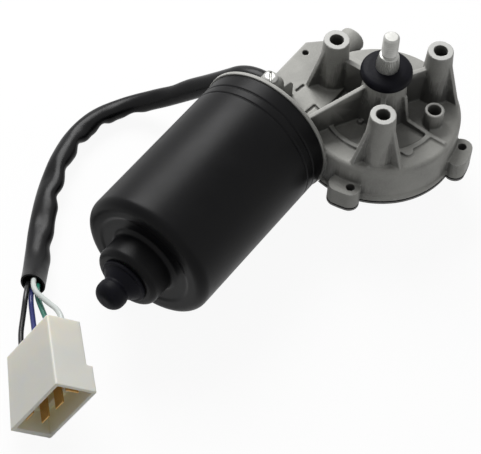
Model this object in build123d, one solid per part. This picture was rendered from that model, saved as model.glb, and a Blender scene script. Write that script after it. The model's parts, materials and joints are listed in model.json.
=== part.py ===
from build123d import *
import math
import os

# Worm-gear wiper motor.
# Frame: origin at the centre of the three mounting faces on the output axis, +Z up the output shaft,
# +X along the motor axis from the can towards the far end of the gear housing. Millimetres, degrees.

# ---------------------------------------------------------------------------------------------------
# Driving dimensions
# ---------------------------------------------------------------------------------------------------

# Clearances and fits
running_clearance = 0.03      # radial, shaft in bush
body_clearance = 0.3          # between pieces that move past each other
seat_clearance = 0.1          # radial, loose seats inside the can and on bosses
thread_clearance = 0.05       # radial, screw in its tapped hole

# Mounting bosses
mount_circle_diameter = 58.0
mount_count = 3
mount_first_angle = 90.0
mount_hole_diameter = 6.7
mount_hole_depth = 18.0
boss_top_diameter = 12.6
boss_foot_diameter = 16.6
boss_height = 30.0
boss_gusset_reach = 14.0
boss_gusset_thickness = 2.4
boss_gusset_spread = 60.0
boss_gusset_drop = 4.0
web_thickness = 2.6
web_top_depth = 10.0

# Gear pair
gear_module = 1.4
wheel_teeth = 50
wheel_width = 12.0
worm_pitch_diameter = 11.0
worm_length = 26.0
tooth_pressure_angle = 20.0
tooth_backlash = 0.30
tooth_root_factor = 1.25

# Worm wheel body
wheel_recess_depth = 5.0
wheel_rim_thickness = 4.0
wheel_hub_diameter = 24.0
wheel_washer_thickness = 0.6
wheel_washer_diameter = 20.0
wheel_hub_rise = 0.1
wheel_hub_sink = 1.0

# Gear drum
drum_roof = 3.0
wheel_top_clearance = 1.0
wheel_rim_clearance = 0.8
drum_wall = 2.4
drum_height = 22.4
drum_edge_radius = 2.4
drum_lip = 0.8
drum_lip_height = 3.0
drum_recess_depth = 0.8
drum_recess_diameter = 53.0
ring_rib_diameter = 56.0
ring_rib_width = 2.6
ring_rib_height = 1.4
ring_rib_start = 153.0
ring_rib_end = 270.0
rib_pad_diameter = 5.6
rib_pad_radius = 29.4
rib_pad_angle = 239.0
radial_rib_angle = 270.0
radial_rib_thickness = 2.2
radial_rib_top_depth = 12.0
radial_rib_knee_radius = 15.5
radial_rib_knee_depth = 27.2
moulding_pip_diameter = 2.6
moulding_pip_height = 1.2
moulding_pip_angle = 167.0

# Breather boss on the drum
breather_radius = 26.1
breather_angle = -71.7
breather_outer_diameter = 9.6
breather_bore_diameter = 6.6
breather_height = 9.4

# Cover-screw lugs
lug_circle_radius = 42.7
lug_sweep_angles = {195.0: 8.0, 288.0: 10.0, 15.0: 13.0, 45.0: 13.0}
lug_width = 10.4
lug_height = 10.4
cover_screw_diameter = 4.0

# Shaft tower and output shaft
tower_top_diameter = 20.6
tower_foot_diameter = 25.0
tower_top_depth = 5.5
tower_counterbore_diameter = 17.4
tower_counterbore_depth = 2.6
output_shaft_diameter = 12.0
output_bush_diameter = 15.6
output_bush_length = 9.0
output_shaft_tail = 3.0
cone_foot_diameter = 10.8
cone_top_diameter = 9.2
cone_foot_height = 0.6
cone_height = 9.0
thread_diameter = 8.0
thread_length = 12.8
thread_chamfer = 0.8
circlip_thickness = 1.0
circlip_groove_depth = 0.5
circlip_rim = 1.9
circlip_gap_angle = 36.0
circlip_gap_centre_angle = 200.0
output_washer_thickness = 0.8

# Rubber shaft cap
shaft_cap_diameter = 25.2
shaft_cap_edge_radius = 2.4
shaft_cap_edge_drop = 0.9
shaft_cap_skirt_rise = 1.2
shaft_cap_skirt_radius = 0.8
shaft_cap_crown_diameter = 13.8
shaft_cap_crown_radius = 2.0

# Worm tunnel
tunnel_half_width = 12.0
tunnel_top_over_axis = 12.0
tunnel_bottom_under_axis = 12.0
tunnel_near_reach = 20.0
tunnel_end_reach = 18.0
tunnel_corner_chamfer = 7.0
tunnel_bore_clearance = 1.1
tunnel_bore_end_clearance = 4.0
tunnel_end_boss_diameter = 13.6
tunnel_end_boss_length = 19.0
tunnel_hole_diameter = 3.2
tunnel_hole_depth = 6.0
tunnel_hole_x = 5.3
tunnel_hole_edge = 3.8
hook_groove_width = 1.3
hook_groove_depth = 1.2
hook_grooves = (
    ((-17.6, 38.1), (-12.8, 37.5)),
    ((-27.1, 26.7), (-19.9, 25.8)),
    ((-19.9, 25.8), (-20.8, 22.8)),
)

# Motor flange and spigot
flange_distance = 40.0
flange_thickness = 2.0
flange_overhang = 0.8
flange_hub_diameter = 38.0
flange_hub_small_diameter = 30.0
flange_hub_length = 11.0
spigot_length = 6.0
spigot_wall = 3.0
flange_rib_thickness = 2.4
flange_rib_top_depth = 18.0
flange_rib_tower_depth = 7.5
flange_rib_start_y = 21.0
flange_rib_tower_angle = 141.0

# Cable outlet on the flange
outlet_x = -28.0
outlet_depth = 21.4
outlet_outer_diameter = 13.4
outlet_length = 12.0
outlet_end_y = 50.0
outlet_edge_radius = 0.8
outlet_end_wall = 1.5
wire_passage_diameter = 5.2
wire_passage_inset = 0.4
grommet_wall = 1.0
grommet_lip = 1.2
grommet_rear_gap = 5.5

# Earth lug behind the flange and its screw
earth_lug_centre_y = 44.0
earth_lug_width = 11.0
earth_lug_length = 9.0
earth_lug_depth = 8.4
earth_lug_drop = 12.0
earth_lug_radius = 4.0
earth_screw_diameter = 4.0
earth_screw_length = 7.0
earth_screw_hole_depth = 9.0
earth_screw_head_diameter = 7.4
earth_screw_head_height = 1.8
earth_screw_head_rounding = 1.1
earth_screw_x = -33.4

# Motor can
can_diameter = 69.0
can_wall = 2.0
can_length = 97.2
can_corner_radius = 5.0
can_groove_distances = (8.3, 13.3)
can_groove_width = 1.2
can_groove_depth = 0.4
stake_count = 2
stake_diameter = 3.6
stake_depth = 0.9
stake_distance = 3.4
stake_first_angle = 22.0
hub_diameter = 33.4
hub_length = 14.2
hub_edge_radius = 3.2
hub_foot_radius = 2.4
hub_hole_diameter = 9.0

# Nose boot
boot_foot_diameter = 24.0
boot_foot_thickness = 1.4
boot_neck_diameter = 14.0
boot_cone_length = 6.2
boot_bulb_diameter = 15.2
boot_bulb_rounding = 0.6
boot_length = 15.6

# Armature
motor_shaft_diameter = 8.0
worm_end_journal_diameter = 6.0
core_diameter = 49.4
core_front_gap = 14.5
slot_count = 12
slot_width = 3.4
slot_opening = 1.8
slot_bottom_diameter = 26.0
slot_lip = 1.0
winding_overhang = 10.0
winding_inset = 2.2
winding_rounding = 4.2
winding_bar_bite = 1.0
winding_inner_diameter = 17.0
winding_slot_clearance = 0.2
commutator_diameter = 23.0
commutator_hub_diameter = 16.0
commutator_length = 15.0
commutator_gap = 1.6
commutator_back_gap = 8.1
commutator_hub_overhang = 1.5
commutator_slit = 0.7
commutator_riser_diameter = 26.0
commutator_riser_width = 2.0
thrust_washer_diameter = 15.0
thrust_washer_thickness = 0.8

# Motor bushes and thrust adjuster
flange_bush_diameter = 14.0
flange_bush_length = 10.0
flange_bush_recess = 2.0
nose_bush_sphere_diameter = 15.2
nose_bush_length = 8.0
nose_clip_thickness = 0.6
worm_end_bush_diameter = 10.0
worm_end_bush_length = 9.0
thrust_ball_diameter = 5.5
thrust_screw_diameter = 7.0
thrust_screw_length = 5.0
thrust_screw_slot = 1.2
thrust_screw_slot_depth = 1.4
thrust_gap = 0.1

# Field magnets
armature_air_gap = 0.9
magnet_overhang = 4.0
magnet_span_angle = 118.0
magnet_spring_span_angle = 44.0
magnet_spring_thickness = 0.8
magnet_spring_end_gap = 13.0

# Brush gear
brush_plate_thickness = 1.6
brush_plate_bore_diameter = 28.0
brush_angles = (0.0, 180.0, 60.0)
brush_width = 5.0
brush_depth = 8.0
brush_length = 9.0
brush_running_gap = 0.1
brush_holder_wall = 0.6
brush_holder_start_radius = 14.0
brush_holder_length = 14.0
brush_spring_wire = 0.6
brush_spring_turns = 5
choke_angles = (250.0, 290.0)
choke_radius = 23.5
choke_core_diameter = 4.0
choke_coil_diameter = 6.4
choke_length = 13.0
choke_coil_length = 9.0
choke_coil_rounding = 0.6

# Cover, gasket and park switch
gasket_thickness = 0.6
cover_thickness = 1.2
cover_dish_depth = 3.0
cover_dish_diameter = 60.0
cover_screw_head_diameter = 8.0
cover_screw_head_height = 2.6
cover_screw_bite = 8.0
cover_screw_head_rounding = 1.2
screw_cross_span_share = 0.6
screw_cross_width = 1.0
screw_cross_depth_share = 0.5
cover_dish_rounding = 1.5
contact_plate_diameter = 68.0
contact_plate_thickness = 1.6
park_disc_outer_diameter = 52.0
park_disc_inner_diameter = 26.0
park_disc_thickness = 0.6
park_disc_notch_angle = 40.0
park_disc_notch_depth = 5.0
contact_spring_tracks = (15.5, 19.5, 23.5)
contact_spring_width = 3.0
contact_spring_thickness = 0.4
contact_spring_foot = 6.0
contact_spring_reach = 13.0
contact_spring_tip = 2.0
contact_spring_tip_drop = 0.6

# Cable: sleeve and wires. The route is a list of corners, the first at the outlet's mouth.
sleeve_diameter = 10.8
wire_diameter = 2.6
corner_share = 0.45
cable_route = [
    (-28.0, 50.0, -21.4),
    (-28.0, 60.0, -21.4),
    (-30.6, 73.2, -34.4),
    (-34.6, 90.0, -49.4),
    (-40.0, 104.5, -62.0),
    (-48.5, 118.0, -69.0),
    (-63.5, 125.5, -69.0),
    (-81.5, 127.0, -69.0),
    (-99.5, 122.8, -69.0),
    (-117.0, 115.2, -69.0),
    (-134.0, 105.3, -69.0),
    (-149.5, 95.0, -68.0),
    (-161.0, 87.0, -63.6),
    (-170.0, 80.8, -57.6),
]
wire_ring_radius = 2.3
wire_ring_angles = {"black": 10.0, "white": 100.0, "green": 190.0, "blue": 280.0}
wire_first_lead = 9.0
wire_last_lead = 7.0
wire_sag = 1.0

# Connector: local x along the long side, y along the short side, z out of the mouth.
connector_mouth_corner = (-219.8, 25.45)
connector_heading = 225.5
connector_roll = 58.2
connector_long = 41.3
connector_short = 21.2
connector_length = 37.5
connector_rear_long = 37.4
connector_rear_short = 17.6
connector_shroud_length = 14.0
connector_cavity_depth = 22.0
connector_wall = 1.8
connector_edge_radius = 0.8
connector_rear_inset = 0.5
connector_end_wall = 2.8
connector_step_floor = 1.8
terminal_places = {
    "black": (29.8, 4.0, 0),
    "blue": (29.8, 12.2, 0),
    "green": (17.2, 12.2, 0),
    "white": (5.4, 11.6, 90),
}
terminal_blade_width = 6.3
terminal_blade_thickness = 0.8
terminal_setback = 1.5
terminal_root = 6.0
terminal_bevel = 0.24

# ---------------------------------------------------------------------------------------------------
# Places worked out from the sizes
# ---------------------------------------------------------------------------------------------------

mount_radius = mount_circle_diameter / 2
mount_angles = [mount_first_angle + 360.0 * k / mount_count for k in range(mount_count)]

axial_pitch = math.pi * gear_module
wheel_pitch_radius = gear_module * wheel_teeth / 2
worm_pitch_radius = worm_pitch_diameter / 2
centre_distance = wheel_pitch_radius + worm_pitch_radius
wheel_tip_radius = wheel_pitch_radius + gear_module
wheel_root_radius = wheel_pitch_radius - tooth_root_factor * gear_module
worm_tip_radius = worm_pitch_radius + gear_module
worm_root_radius = worm_pitch_radius - tooth_root_factor * gear_module
worm_lead_slope = axial_pitch / (2 * math.pi * worm_pitch_radius)

drum_top = -boss_height
drum_bottom = drum_top - drum_height
drum_inner_radius = wheel_tip_radius + wheel_rim_clearance
drum_outer_radius = drum_inner_radius + drum_wall
roof_under = drum_top - drum_roof
wheel_top = roof_under - wheel_top_clearance
wheel_bottom = wheel_top - wheel_width
wheel_middle = wheel_top - wheel_width / 2

motor_y = centre_distance
motor_z = wheel_middle
tunnel_top = motor_z + tunnel_top_over_axis

tower_top = -tower_top_depth
bush_seat = tower_top - tower_counterbore_depth
circlip_low = bush_seat + body_clearance + output_washer_thickness
output_shaft_bottom = wheel_bottom - output_shaft_tail

can_radius = can_diameter / 2
can_inner_radius = can_radius - can_wall
can_back = -flange_distance
can_front = can_back - can_length
hub_front = can_front - hub_length
can_floor = motor_z - can_radius
flange_back = can_back + flange_thickness
spigot_front = can_back - spigot_length

motor_shaft_radius = motor_shaft_diameter / 2
worm_start = -worm_length / 2
worm_end = worm_length / 2
tunnel_bore_radius = worm_tip_radius + tunnel_bore_clearance
tunnel_bore_end = worm_end + tunnel_bore_end_clearance
end_bush_end = tunnel_bore_end + worm_end_bush_length
shaft_far_end = end_bush_end + thrust_gap
ball_centre = shaft_far_end + thrust_gap + thrust_ball_diameter / 2
thrust_screw_start = ball_centre + thrust_ball_diameter / 2 + thrust_gap
tunnel_end_boss_end = tunnel_end_reach + tunnel_end_boss_length

core_front = can_front + core_front_gap
commutator_back = can_back - commutator_back_gap
commutator_front = commutator_back - commutator_length
winding_back = commutator_front - commutator_gap
core_back = winding_back - winding_overhang
magnet_front = core_front - magnet_overhang
magnet_back = core_back + magnet_overhang
magnet_outer_radius = can_inner_radius - seat_clearance
magnet_inner_radius = core_diameter / 2 + armature_air_gap
flange_bush_front = can_back + flange_bush_recess
nose_inside = hub_front + can_wall
shaft_nose_end = nose_inside + can_wall

gasket_bottom = drum_bottom - gasket_thickness
cover_bottom = gasket_bottom - cover_thickness
cover_radius = drum_outer_radius + drum_lip

# The grommet's lip fills the outlet's mouth and its neck lines the outlet.
grommet_outer_radius = sleeve_diameter / 2
grommet_neck_radius = grommet_outer_radius - grommet_wall
outlet_bore_depth = outlet_length - outlet_end_wall
grommet_inner_end = grommet_rear_gap - outlet_bore_depth
earth_lug_bottom = -earth_lug_depth - earth_lug_drop

# The motor's own frame: local Z runs along +X of the row frame on the armature axis.
motor_frame = Plane(origin=(0, motor_y, motor_z), x_dir=(0, 1, 0), z_dir=(1, 0, 0))


# ---------------------------------------------------------------------------------------------------
# Helpers
# ---------------------------------------------------------------------------------------------------

def point_at(radius, angle, height=0.0):
    """Point at a radius and an angle about the output axis."""
    turn = math.radians(angle)
    return (radius * math.cos(turn), radius * math.sin(turn), height)


def turned(*corners):
    """Solid of revolution about Z from corners (radius, height) or (radius, height, rounding)."""
    points = [(corner[0], corner[1]) for corner in corners]
    roundings = [corner[2] if len(corner) > 2 else 0.0 for corner in corners]
    outline = make_face(FilletPolyline(*points, radius=roundings, close=True))
    return revolve(Plane.XZ * outline, axis=Axis.Z)


def ring(outer_radius, inner_radius, low, high):
    """Plain ring about Z."""
    return turned((inner_radius, low), (outer_radius, low), (outer_radius, high), (inner_radius, high))


def rod(radius, low, high, place=(0, 0)):
    """Upright cylinder between two heights."""
    return Pos(place[0], place[1], (low + high) / 2) * Cylinder(radius, high - low)


def tapered_rod(low_radius, high_radius, low, high, place=(0, 0)):
    """Upright cone between two heights."""
    return Pos(place[0], place[1], (low + high) / 2) * Cone(low_radius, high_radius, high - low)


def block(x_range, y_range, z_range):
    """Box from three ranges."""
    sides = [high - low for low, high in (x_range, y_range, z_range)]
    middle = [(low + high) / 2 for low, high in (x_range, y_range, z_range)]
    return Pos(*middle) * Box(*sides)


def upright_web(start, angle, outline, thickness):
    """Thin upright wall from a point in plan, along an angle: outline holds (distance, height)."""
    face = make_face(Polyline(*outline, close=True))
    wall = extrude(Plane.XZ * face, thickness / 2, both=True)
    return Pos(start[0], start[1], 0) * Rot(0, 0, angle) * wall


def sector(outer_radius, inner_radius, low, high, centre_angle, arc):
    """Part of a ring, centred on an angle."""
    whole = ring(outer_radius, inner_radius, low, high)
    reach = 3 * outer_radius
    half = arc / 2
    if arc < 180:
        wedge_points = [(0, 0)] + [point_at(reach, centre_angle + turn)[:2] for turn in (-half, 0, half)]
        wedge = extrude(make_face(Polyline(*wedge_points, close=True)), high - low)
        return whole & (Pos(0, 0, low) * wedge)
    gap_half = 180 - half
    gap_points = [(0, 0)] + [
        point_at(reach, centre_angle + 180 + turn)[:2] for turn in (-gap_half, 0, gap_half)
    ]
    gap = extrude(make_face(Polyline(*gap_points, close=True)), high - low)
    return whole - Pos(0, 0, low) * gap


def in_motor(shape):
    """Shape made about local Z, put on the armature axis."""
    return motor_frame.location * shape


def solids_of(shape):
    """The separate solids of a shape or a list of shapes."""
    shapes = shape if isinstance(shape, (list, tuple)) else [shape]
    return [solid for item in shapes for solid in item.solids()]


def save(shape, node):
    """Write one node to its STEP file."""
    solids = solids_of(shape)
    export_step(solids[0] if len(solids) == 1 else Compound(solids), f"parts/{node}.step")


# ---------------------------------------------------------------------------------------------------
# Gear housing
# ---------------------------------------------------------------------------------------------------

def mounting_boss(angle, foot_height):
    """Tapered boss with two splayed gussets and a web to the shaft tower."""
    centre = point_at(mount_radius, angle)
    foot = drum_top - drum_roof / 2
    boss = tapered_rod(boss_foot_diameter / 2, boss_top_diameter / 2, foot, 0, centre)
    top_reach = boss_top_diameter / 2
    gusset = [(0, foot), (boss_gusset_reach, foot), (boss_gusset_reach, foot_height),
              (top_reach, -boss_gusset_drop), (0, -boss_gusset_drop)]
    for side in (-boss_gusset_spread, boss_gusset_spread):
        boss += upright_web(centre, angle + side, gusset, boss_gusset_thickness)
    web = [(0, foot), (mount_radius, foot), (mount_radius, -web_top_depth), (0, -web_top_depth)]
    return boss + upright_web((0, 0), angle, web, web_thickness)


def cover_lug(angle, low, high, radius):
    """Lug beside the drum: a rounded bar that sweeps back from its screw."""
    sweep = lug_sweep_angles[angle]
    ends = [point_at(lug_circle_radius, angle - sweep * share)[:2] for share in (0, 0.5, 1)]
    lug = rod(radius, low, high, ends[0])
    for start, end in zip(ends, ends[1:]):
        run = math.dist(start, end)
        heading = math.degrees(math.atan2(end[1] - start[1], end[0] - start[0]))
        bar = Pos(start[0], start[1], (low + high) / 2) * Rot(0, 0, heading) * Pos(run / 2, 0, 0)
        lug += bar * Box(run, 2 * radius, high - low)
        lug += rod(radius, low, high, end)
    inward = point_at((drum_outer_radius + lug_circle_radius) / 2, angle - sweep / 2)[:2]
    depth = lug_circle_radius - drum_outer_radius + radius
    foot = Pos(inward[0], inward[1], (low + high) / 2) * Rot(0, 0, angle - sweep / 2)
    return lug + foot * Box(depth, 2 * radius, high - low)


def drum():
    """Round gear case with a lip at its open bottom and ribs on its roof."""
    body = turned(
        (0, drum_bottom), (drum_outer_radius + drum_lip, drum_bottom),
        (drum_outer_radius + drum_lip, drum_bottom + drum_lip_height),
        (drum_outer_radius, drum_bottom + drum_lip_height + drum_lip),
        (drum_outer_radius, drum_top, drum_edge_radius), (0, drum_top),
    )
    body -= rod(drum_recess_diameter / 2, drum_top - drum_recess_depth, 0)
    rib_radius = ring_rib_diameter / 2
    body += sector(
        rib_radius + ring_rib_width / 2, rib_radius - ring_rib_width / 2,
        drum_top - drum_recess_depth, drum_top + ring_rib_height,
        (ring_rib_start + ring_rib_end) / 2, ring_rib_end - ring_rib_start,
    )
    rib_top = drum_top + ring_rib_height
    low = drum_top - drum_roof / 2
    radial = [(0, low), (drum_outer_radius - drum_edge_radius, low),
              (drum_outer_radius - drum_edge_radius, rib_top), (rib_radius, rib_top),
              (radial_rib_knee_radius, -radial_rib_knee_depth),
              (tower_foot_diameter / 2, -radial_rib_top_depth), (0, -radial_rib_top_depth)]
    body += upright_web((0, 0), radial_rib_angle, radial, radial_rib_thickness)
    body += rod(rib_pad_diameter / 2, low, rib_top, point_at(rib_pad_radius, rib_pad_angle))
    pip = point_at(tower_foot_diameter / 2 + moulding_pip_diameter / 2, moulding_pip_angle)
    return body + rod(moulding_pip_diameter / 2, low, drum_top + moulding_pip_height, pip)


def worm_tunnel():
    """Flat-topped block round the worm, with a round boss for the far bearing and the motor flange."""
    near = motor_y - tunnel_near_reach
    far = motor_y + tunnel_half_width
    bottom = motor_z - tunnel_bottom_under_axis
    plan = [(can_back, near), (tunnel_end_reach, near), (tunnel_end_reach, far - tunnel_corner_chamfer),
            (tunnel_end_reach - tunnel_corner_chamfer, far), (can_back, far)]
    body = Pos(0, 0, bottom) * extrude(make_face(Polyline(*plan, close=True)), tunnel_top - bottom)
    body += in_motor(rod(tunnel_end_boss_diameter / 2, 0, tunnel_end_boss_end))
    body += in_motor(rod(can_radius + flange_overhang, can_back, flange_back))
    body += in_motor(rod(can_inner_radius - seat_clearance, spigot_front, can_back))
    body += in_motor(tapered_rod(flange_hub_diameter / 2, flange_hub_small_diameter / 2,
                                 flange_back, flange_back + flange_hub_length))
    return body


def cable_outlet():
    """Short horizontal barrel on the flange's back that the cable leaves through."""
    radius = outlet_outer_diameter / 2
    start = outlet_end_y - outlet_length
    barrel = turned((0, 0), (radius, 0), (radius, outlet_length, outlet_edge_radius), (0, outlet_length))
    barrel = Pos(outlet_x, start, -outlet_depth) * Rot(-90, 0, 0) * barrel
    pedestal = block((outlet_x - radius, outlet_x + radius), (start, outlet_end_y - outlet_edge_radius),
                     (tunnel_top - drum_roof, -outlet_depth))
    bridge = block((flange_back - flange_thickness / 2, outlet_x), (start, outlet_end_y - outlet_edge_radius),
                   (tunnel_top - drum_roof, earth_lug_bottom + outlet_edge_radius))
    return barrel + pedestal + bridge


def flange_rib():
    """Tall thin rib that ties the flange to the shaft tower."""
    start = (flange_back - flange_thickness / 2, flange_rib_start_y)
    end = point_at(tower_top_diameter / 4, flange_rib_tower_angle)[:2]
    run = math.dist(start, end)
    heading = math.degrees(math.atan2(end[1] - start[1], end[0] - start[0]))
    low = drum_top - drum_roof / 2
    outline = [(0, low), (run, low), (run, -flange_rib_tower_depth), (0, -flange_rib_top_depth)]
    return upright_web(start, heading, outline, flange_rib_thickness)


def earth_lug():
    """Rounded pad behind the flange's rim that the earth screw goes into."""
    top = -earth_lug_depth
    half = earth_lug_width / 2
    face = (earth_lug_centre_y - motor_y, top - motor_z - earth_lug_drop / 2)
    pad = Pos(face[0], face[1], flange_back) * extrude(
        RectangleRounded(2 * half, earth_lug_drop, earth_lug_radius), earth_lug_length)
    return in_motor(pad)


def hook_marks():
    """Shallow grooves in the tunnel's top."""
    grooves = []
    for start, end in hook_grooves:
        run = math.dist(start, end)
        heading = math.degrees(math.atan2(end[1] - start[1], end[0] - start[0]))
        bar = Pos(run / 2, 0, 0) * Box(run + hook_groove_width, hook_groove_width, 2 * hook_groove_depth)
        grooves.append(Pos(start[0], start[1], tunnel_top) * Rot(0, 0, heading) * bar)
    return grooves


def make_gear_housing():
    """The whole casting, bored for the wheel, the worm, the bushes and the screws."""
    body = drum() + worm_tunnel()
    tower_base = drum_top - drum_roof / 2
    body += tapered_rod(tower_foot_diameter / 2, tower_top_diameter / 2, tower_base, tower_top)
    for angle in mount_angles:
        on_tunnel = point_at(mount_radius, angle)[1] > motor_y - tunnel_near_reach
        body += mounting_boss(angle, tunnel_top if on_tunnel else drum_top)
    for angle in lug_sweep_angles:
        body += cover_lug(angle, drum_bottom, drum_bottom + lug_height, lug_width / 2)
    breather = point_at(breather_radius, breather_angle)
    body += rod(breather_outer_diameter / 2, drum_top - drum_roof / 2, drum_top + breather_height, breather)
    body += cable_outlet()
    body += earth_lug()
    body += flange_rib()

    # Cavities
    body -= rod(drum_inner_radius, drum_bottom, roof_under)
    body -= in_motor(rod(tunnel_bore_radius, flange_bush_front + flange_bush_length, tunnel_bore_end))
    body -= in_motor(rod(flange_bush_diameter / 2, flange_bush_front, flange_bush_front + flange_bush_length))
    body -= in_motor(rod(thrust_washer_diameter / 2 + body_clearance, spigot_front, flange_bush_front))
    body -= in_motor(rod(can_inner_radius - seat_clearance - spigot_wall, spigot_front, can_back))
    body -= in_motor(rod(worm_end_bush_diameter / 2, tunnel_bore_end, end_bush_end))
    body -= in_motor(rod(thrust_screw_diameter / 2 + thread_clearance, end_bush_end, tunnel_end_boss_end))
    body -= rod(output_bush_diameter / 2, roof_under, tower_top)
    body -= rod(tower_counterbore_diameter / 2, bush_seat, 0)
    for angle in mount_angles:
        body -= rod(mount_hole_diameter / 2, -mount_hole_depth, 0, point_at(mount_radius, angle))
    for angle in lug_sweep_angles:
        place = point_at(lug_circle_radius, angle)
        body -= rod(cover_screw_diameter / 2 + thread_clearance, drum_bottom, drum_bottom + lug_height, place)
    body -= rod(breather_bore_diameter / 2, roof_under, drum_top + breather_height, breather)
    body -= rod(earth_screw_diameter / 2 + thread_clearance, -earth_lug_depth - earth_screw_hole_depth,
                -earth_lug_depth, (earth_screw_x, earth_lug_centre_y))
    for groove in hook_marks():
        body -= groove
    hole_y = motor_y + tunnel_half_width - tunnel_hole_edge
    body -= rod(tunnel_hole_diameter / 2, tunnel_top - tunnel_hole_depth, tunnel_top, (tunnel_hole_x, hole_y))
    mouth = rod(grommet_outer_radius, -grommet_lip, 0)
    body -= Pos(outlet_x, outlet_end_y, -outlet_depth) * Rot(-90, 0, 0) * mouth
    deep = rod(grommet_neck_radius, -outlet_bore_depth, 0)
    body -= Pos(outlet_x, outlet_end_y, -outlet_depth) * Rot(-90, 0, 0) * deep
    passage_y = outlet_end_y - outlet_bore_depth + wire_passage_inset + wire_passage_diameter / 2
    passage = (passage_y - motor_y, -outlet_depth - motor_z)
    return body - in_motor(rod(wire_passage_diameter / 2, spigot_front, outlet_x, passage))


def make_earth_screw():
    """Pan-head screw on the earth lug."""
    head, shank = earth_screw_head_diameter / 2, earth_screw_diameter / 2
    top = earth_screw_head_height
    screw = turned((0, -earth_screw_length), (shank, -earth_screw_length), (shank, 0), (head, 0),
                   (head, top, earth_screw_head_rounding), (0, top))
    screw -= screw_cross(head, top * (1 - screw_cross_depth_share), top)
    return Pos(earth_screw_x, earth_lug_centre_y, -earth_lug_depth) * screw


def make_cable_grommet():
    """Rubber bush inside the outlet; the sleeve butts against its lip."""
    bore = grommet_neck_radius - grommet_wall
    bush = turned((bore, grommet_inner_end), (grommet_neck_radius, grommet_inner_end),
                  (grommet_neck_radius, -grommet_lip), (grommet_outer_radius, -grommet_lip),
                  (grommet_outer_radius, 0), (bore, 0))
    return Pos(outlet_x, outlet_end_y, -outlet_depth) * Rot(-90, 0, 0) * bush


# ---------------------------------------------------------------------------------------------------
# Motor can, boot and field
# ---------------------------------------------------------------------------------------------------

def make_motor_can():
    """Deep-drawn cup with a drawn bearing hub, rolled grooves and stake dimples."""
    outer_hub = hub_diameter / 2
    inner_hub = outer_hub - can_wall
    groove_radius = can_radius - can_groove_depth
    grooves = []
    for distance in can_groove_distances:
        middle = can_back - distance
        half = can_groove_width / 2
        grooves += [(can_radius, middle + 2 * half), (groove_radius, middle + half),
                    (groove_radius, middle - half), (can_radius, middle - 2 * half)]
    hole = hub_hole_diameter / 2
    can = turned(
        (can_inner_radius, can_back), (can_radius, can_back), *grooves,
        (can_radius, can_front, can_corner_radius), (outer_hub, can_front, hub_foot_radius),
        (outer_hub, hub_front, hub_edge_radius), (hole, hub_front), (hole, nose_inside),
        (inner_hub, nose_inside), (inner_hub, can_front + can_wall),
        (can_inner_radius, can_front + can_wall, can_corner_radius - can_wall),
    )
    can = in_motor(can)
    for k in range(stake_count):
        angle = stake_first_angle + 360.0 * k / stake_count
        dent = Pos(*point_at(can_radius + stake_diameter / 2 - stake_depth, angle, can_back - stake_distance))
        can -= in_motor(dent * Sphere(stake_diameter / 2))
    return can


def make_nose_boot():
    """Rubber plug with a conical skirt and a round nipple, pushed into the hub's hole."""
    stem = hub_hole_diameter / 2 - thread_clearance
    neck_at = hub_front - boot_cone_length
    tip = hub_front - boot_length
    bulb = boot_bulb_diameter / 2
    foot = boot_foot_diameter / 2
    boot = turned((0, nose_inside), (stem, nose_inside), (stem, hub_front), (foot, hub_front),
                  (foot, hub_front - boot_foot_thickness, boot_foot_thickness / 2),
                  (boot_neck_diameter / 2, neck_at, boot_foot_thickness / 2),
                  (bulb, neck_at - boot_foot_thickness, boot_foot_thickness),
                  (bulb, tip, bulb * boot_bulb_rounding), (0, tip))
    return in_motor(boot)


def make_field_magnets():
    """Two ferrite arcs against the can's wall."""
    return [in_motor(sector(magnet_outer_radius, magnet_inner_radius, magnet_front, magnet_back, angle,
                            magnet_span_angle)) for angle in (0, 180)]


def make_magnet_springs():
    """Two curved leaf springs that hold the arcs apart."""
    inner = magnet_outer_radius - magnet_spring_thickness
    low, high = magnet_front + magnet_spring_end_gap, magnet_back - magnet_spring_end_gap
    return [in_motor(sector(magnet_outer_radius, inner, low, high, angle, magnet_spring_span_angle))
            for angle in (90, 270)]


# ---------------------------------------------------------------------------------------------------
# Armature
# ---------------------------------------------------------------------------------------------------

def worm_section():
    """Slice square to the axis of a one-start thread, with its crest centred on local angle zero."""
    slope = math.tan(math.radians(tooth_pressure_angle))

    def half_angle(radius):
        thickness = (axial_pitch - tooth_backlash) / 2 - 2 * (radius - worm_pitch_radius) * slope
        return math.pi * thickness / axial_pitch

    steps = 6
    radii = [worm_tip_radius + (worm_root_radius - worm_tip_radius) * k / steps for k in range(steps + 1)]
    flank = [(r * math.cos(half_angle(r)), r * math.sin(half_angle(r))) for r in radii]
    mirrored = [(x, -y) for x, y in flank]
    crest = ThreePointArc(mirrored[0], (worm_tip_radius, 0), flank[0])
    root = ThreePointArc(flank[-1], (-worm_root_radius, 0), mirrored[-1])
    return make_face([crest, Spline(*flank), root, Spline(*reversed(mirrored))]).face()


def make_armature_shaft():
    """Steel shaft with the worm cut on it."""
    turns = 360.0 * worm_length / axial_pitch
    start_angle = 180.0 + 360.0 * worm_start / axial_pitch
    worm = Solid.extrude_linear_with_rotation(worm_section(), (0, 0, 0), (0, 0, worm_length), turns)
    shaft = Pos(0, 0, worm_start) * Rot(0, 0, start_angle) * worm
    shaft += rod(motor_shaft_radius, shaft_nose_end, worm_start)
    shaft += rod(worm_end_journal_diameter / 2, worm_end, shaft_far_end)
    return in_motor(shaft)


def slot_cutter(width, opening, low, high, lip):
    """Closed winding slot with a narrow mouth, on local +X."""
    bottom = slot_bottom_diameter / 2
    top = core_diameter / 2
    slot = block((bottom, top - lip), (-width / 2, width / 2), (low, high))
    return slot + block((top - 2 * lip, top + lip), (-opening / 2, opening / 2), (low, high))


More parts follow.
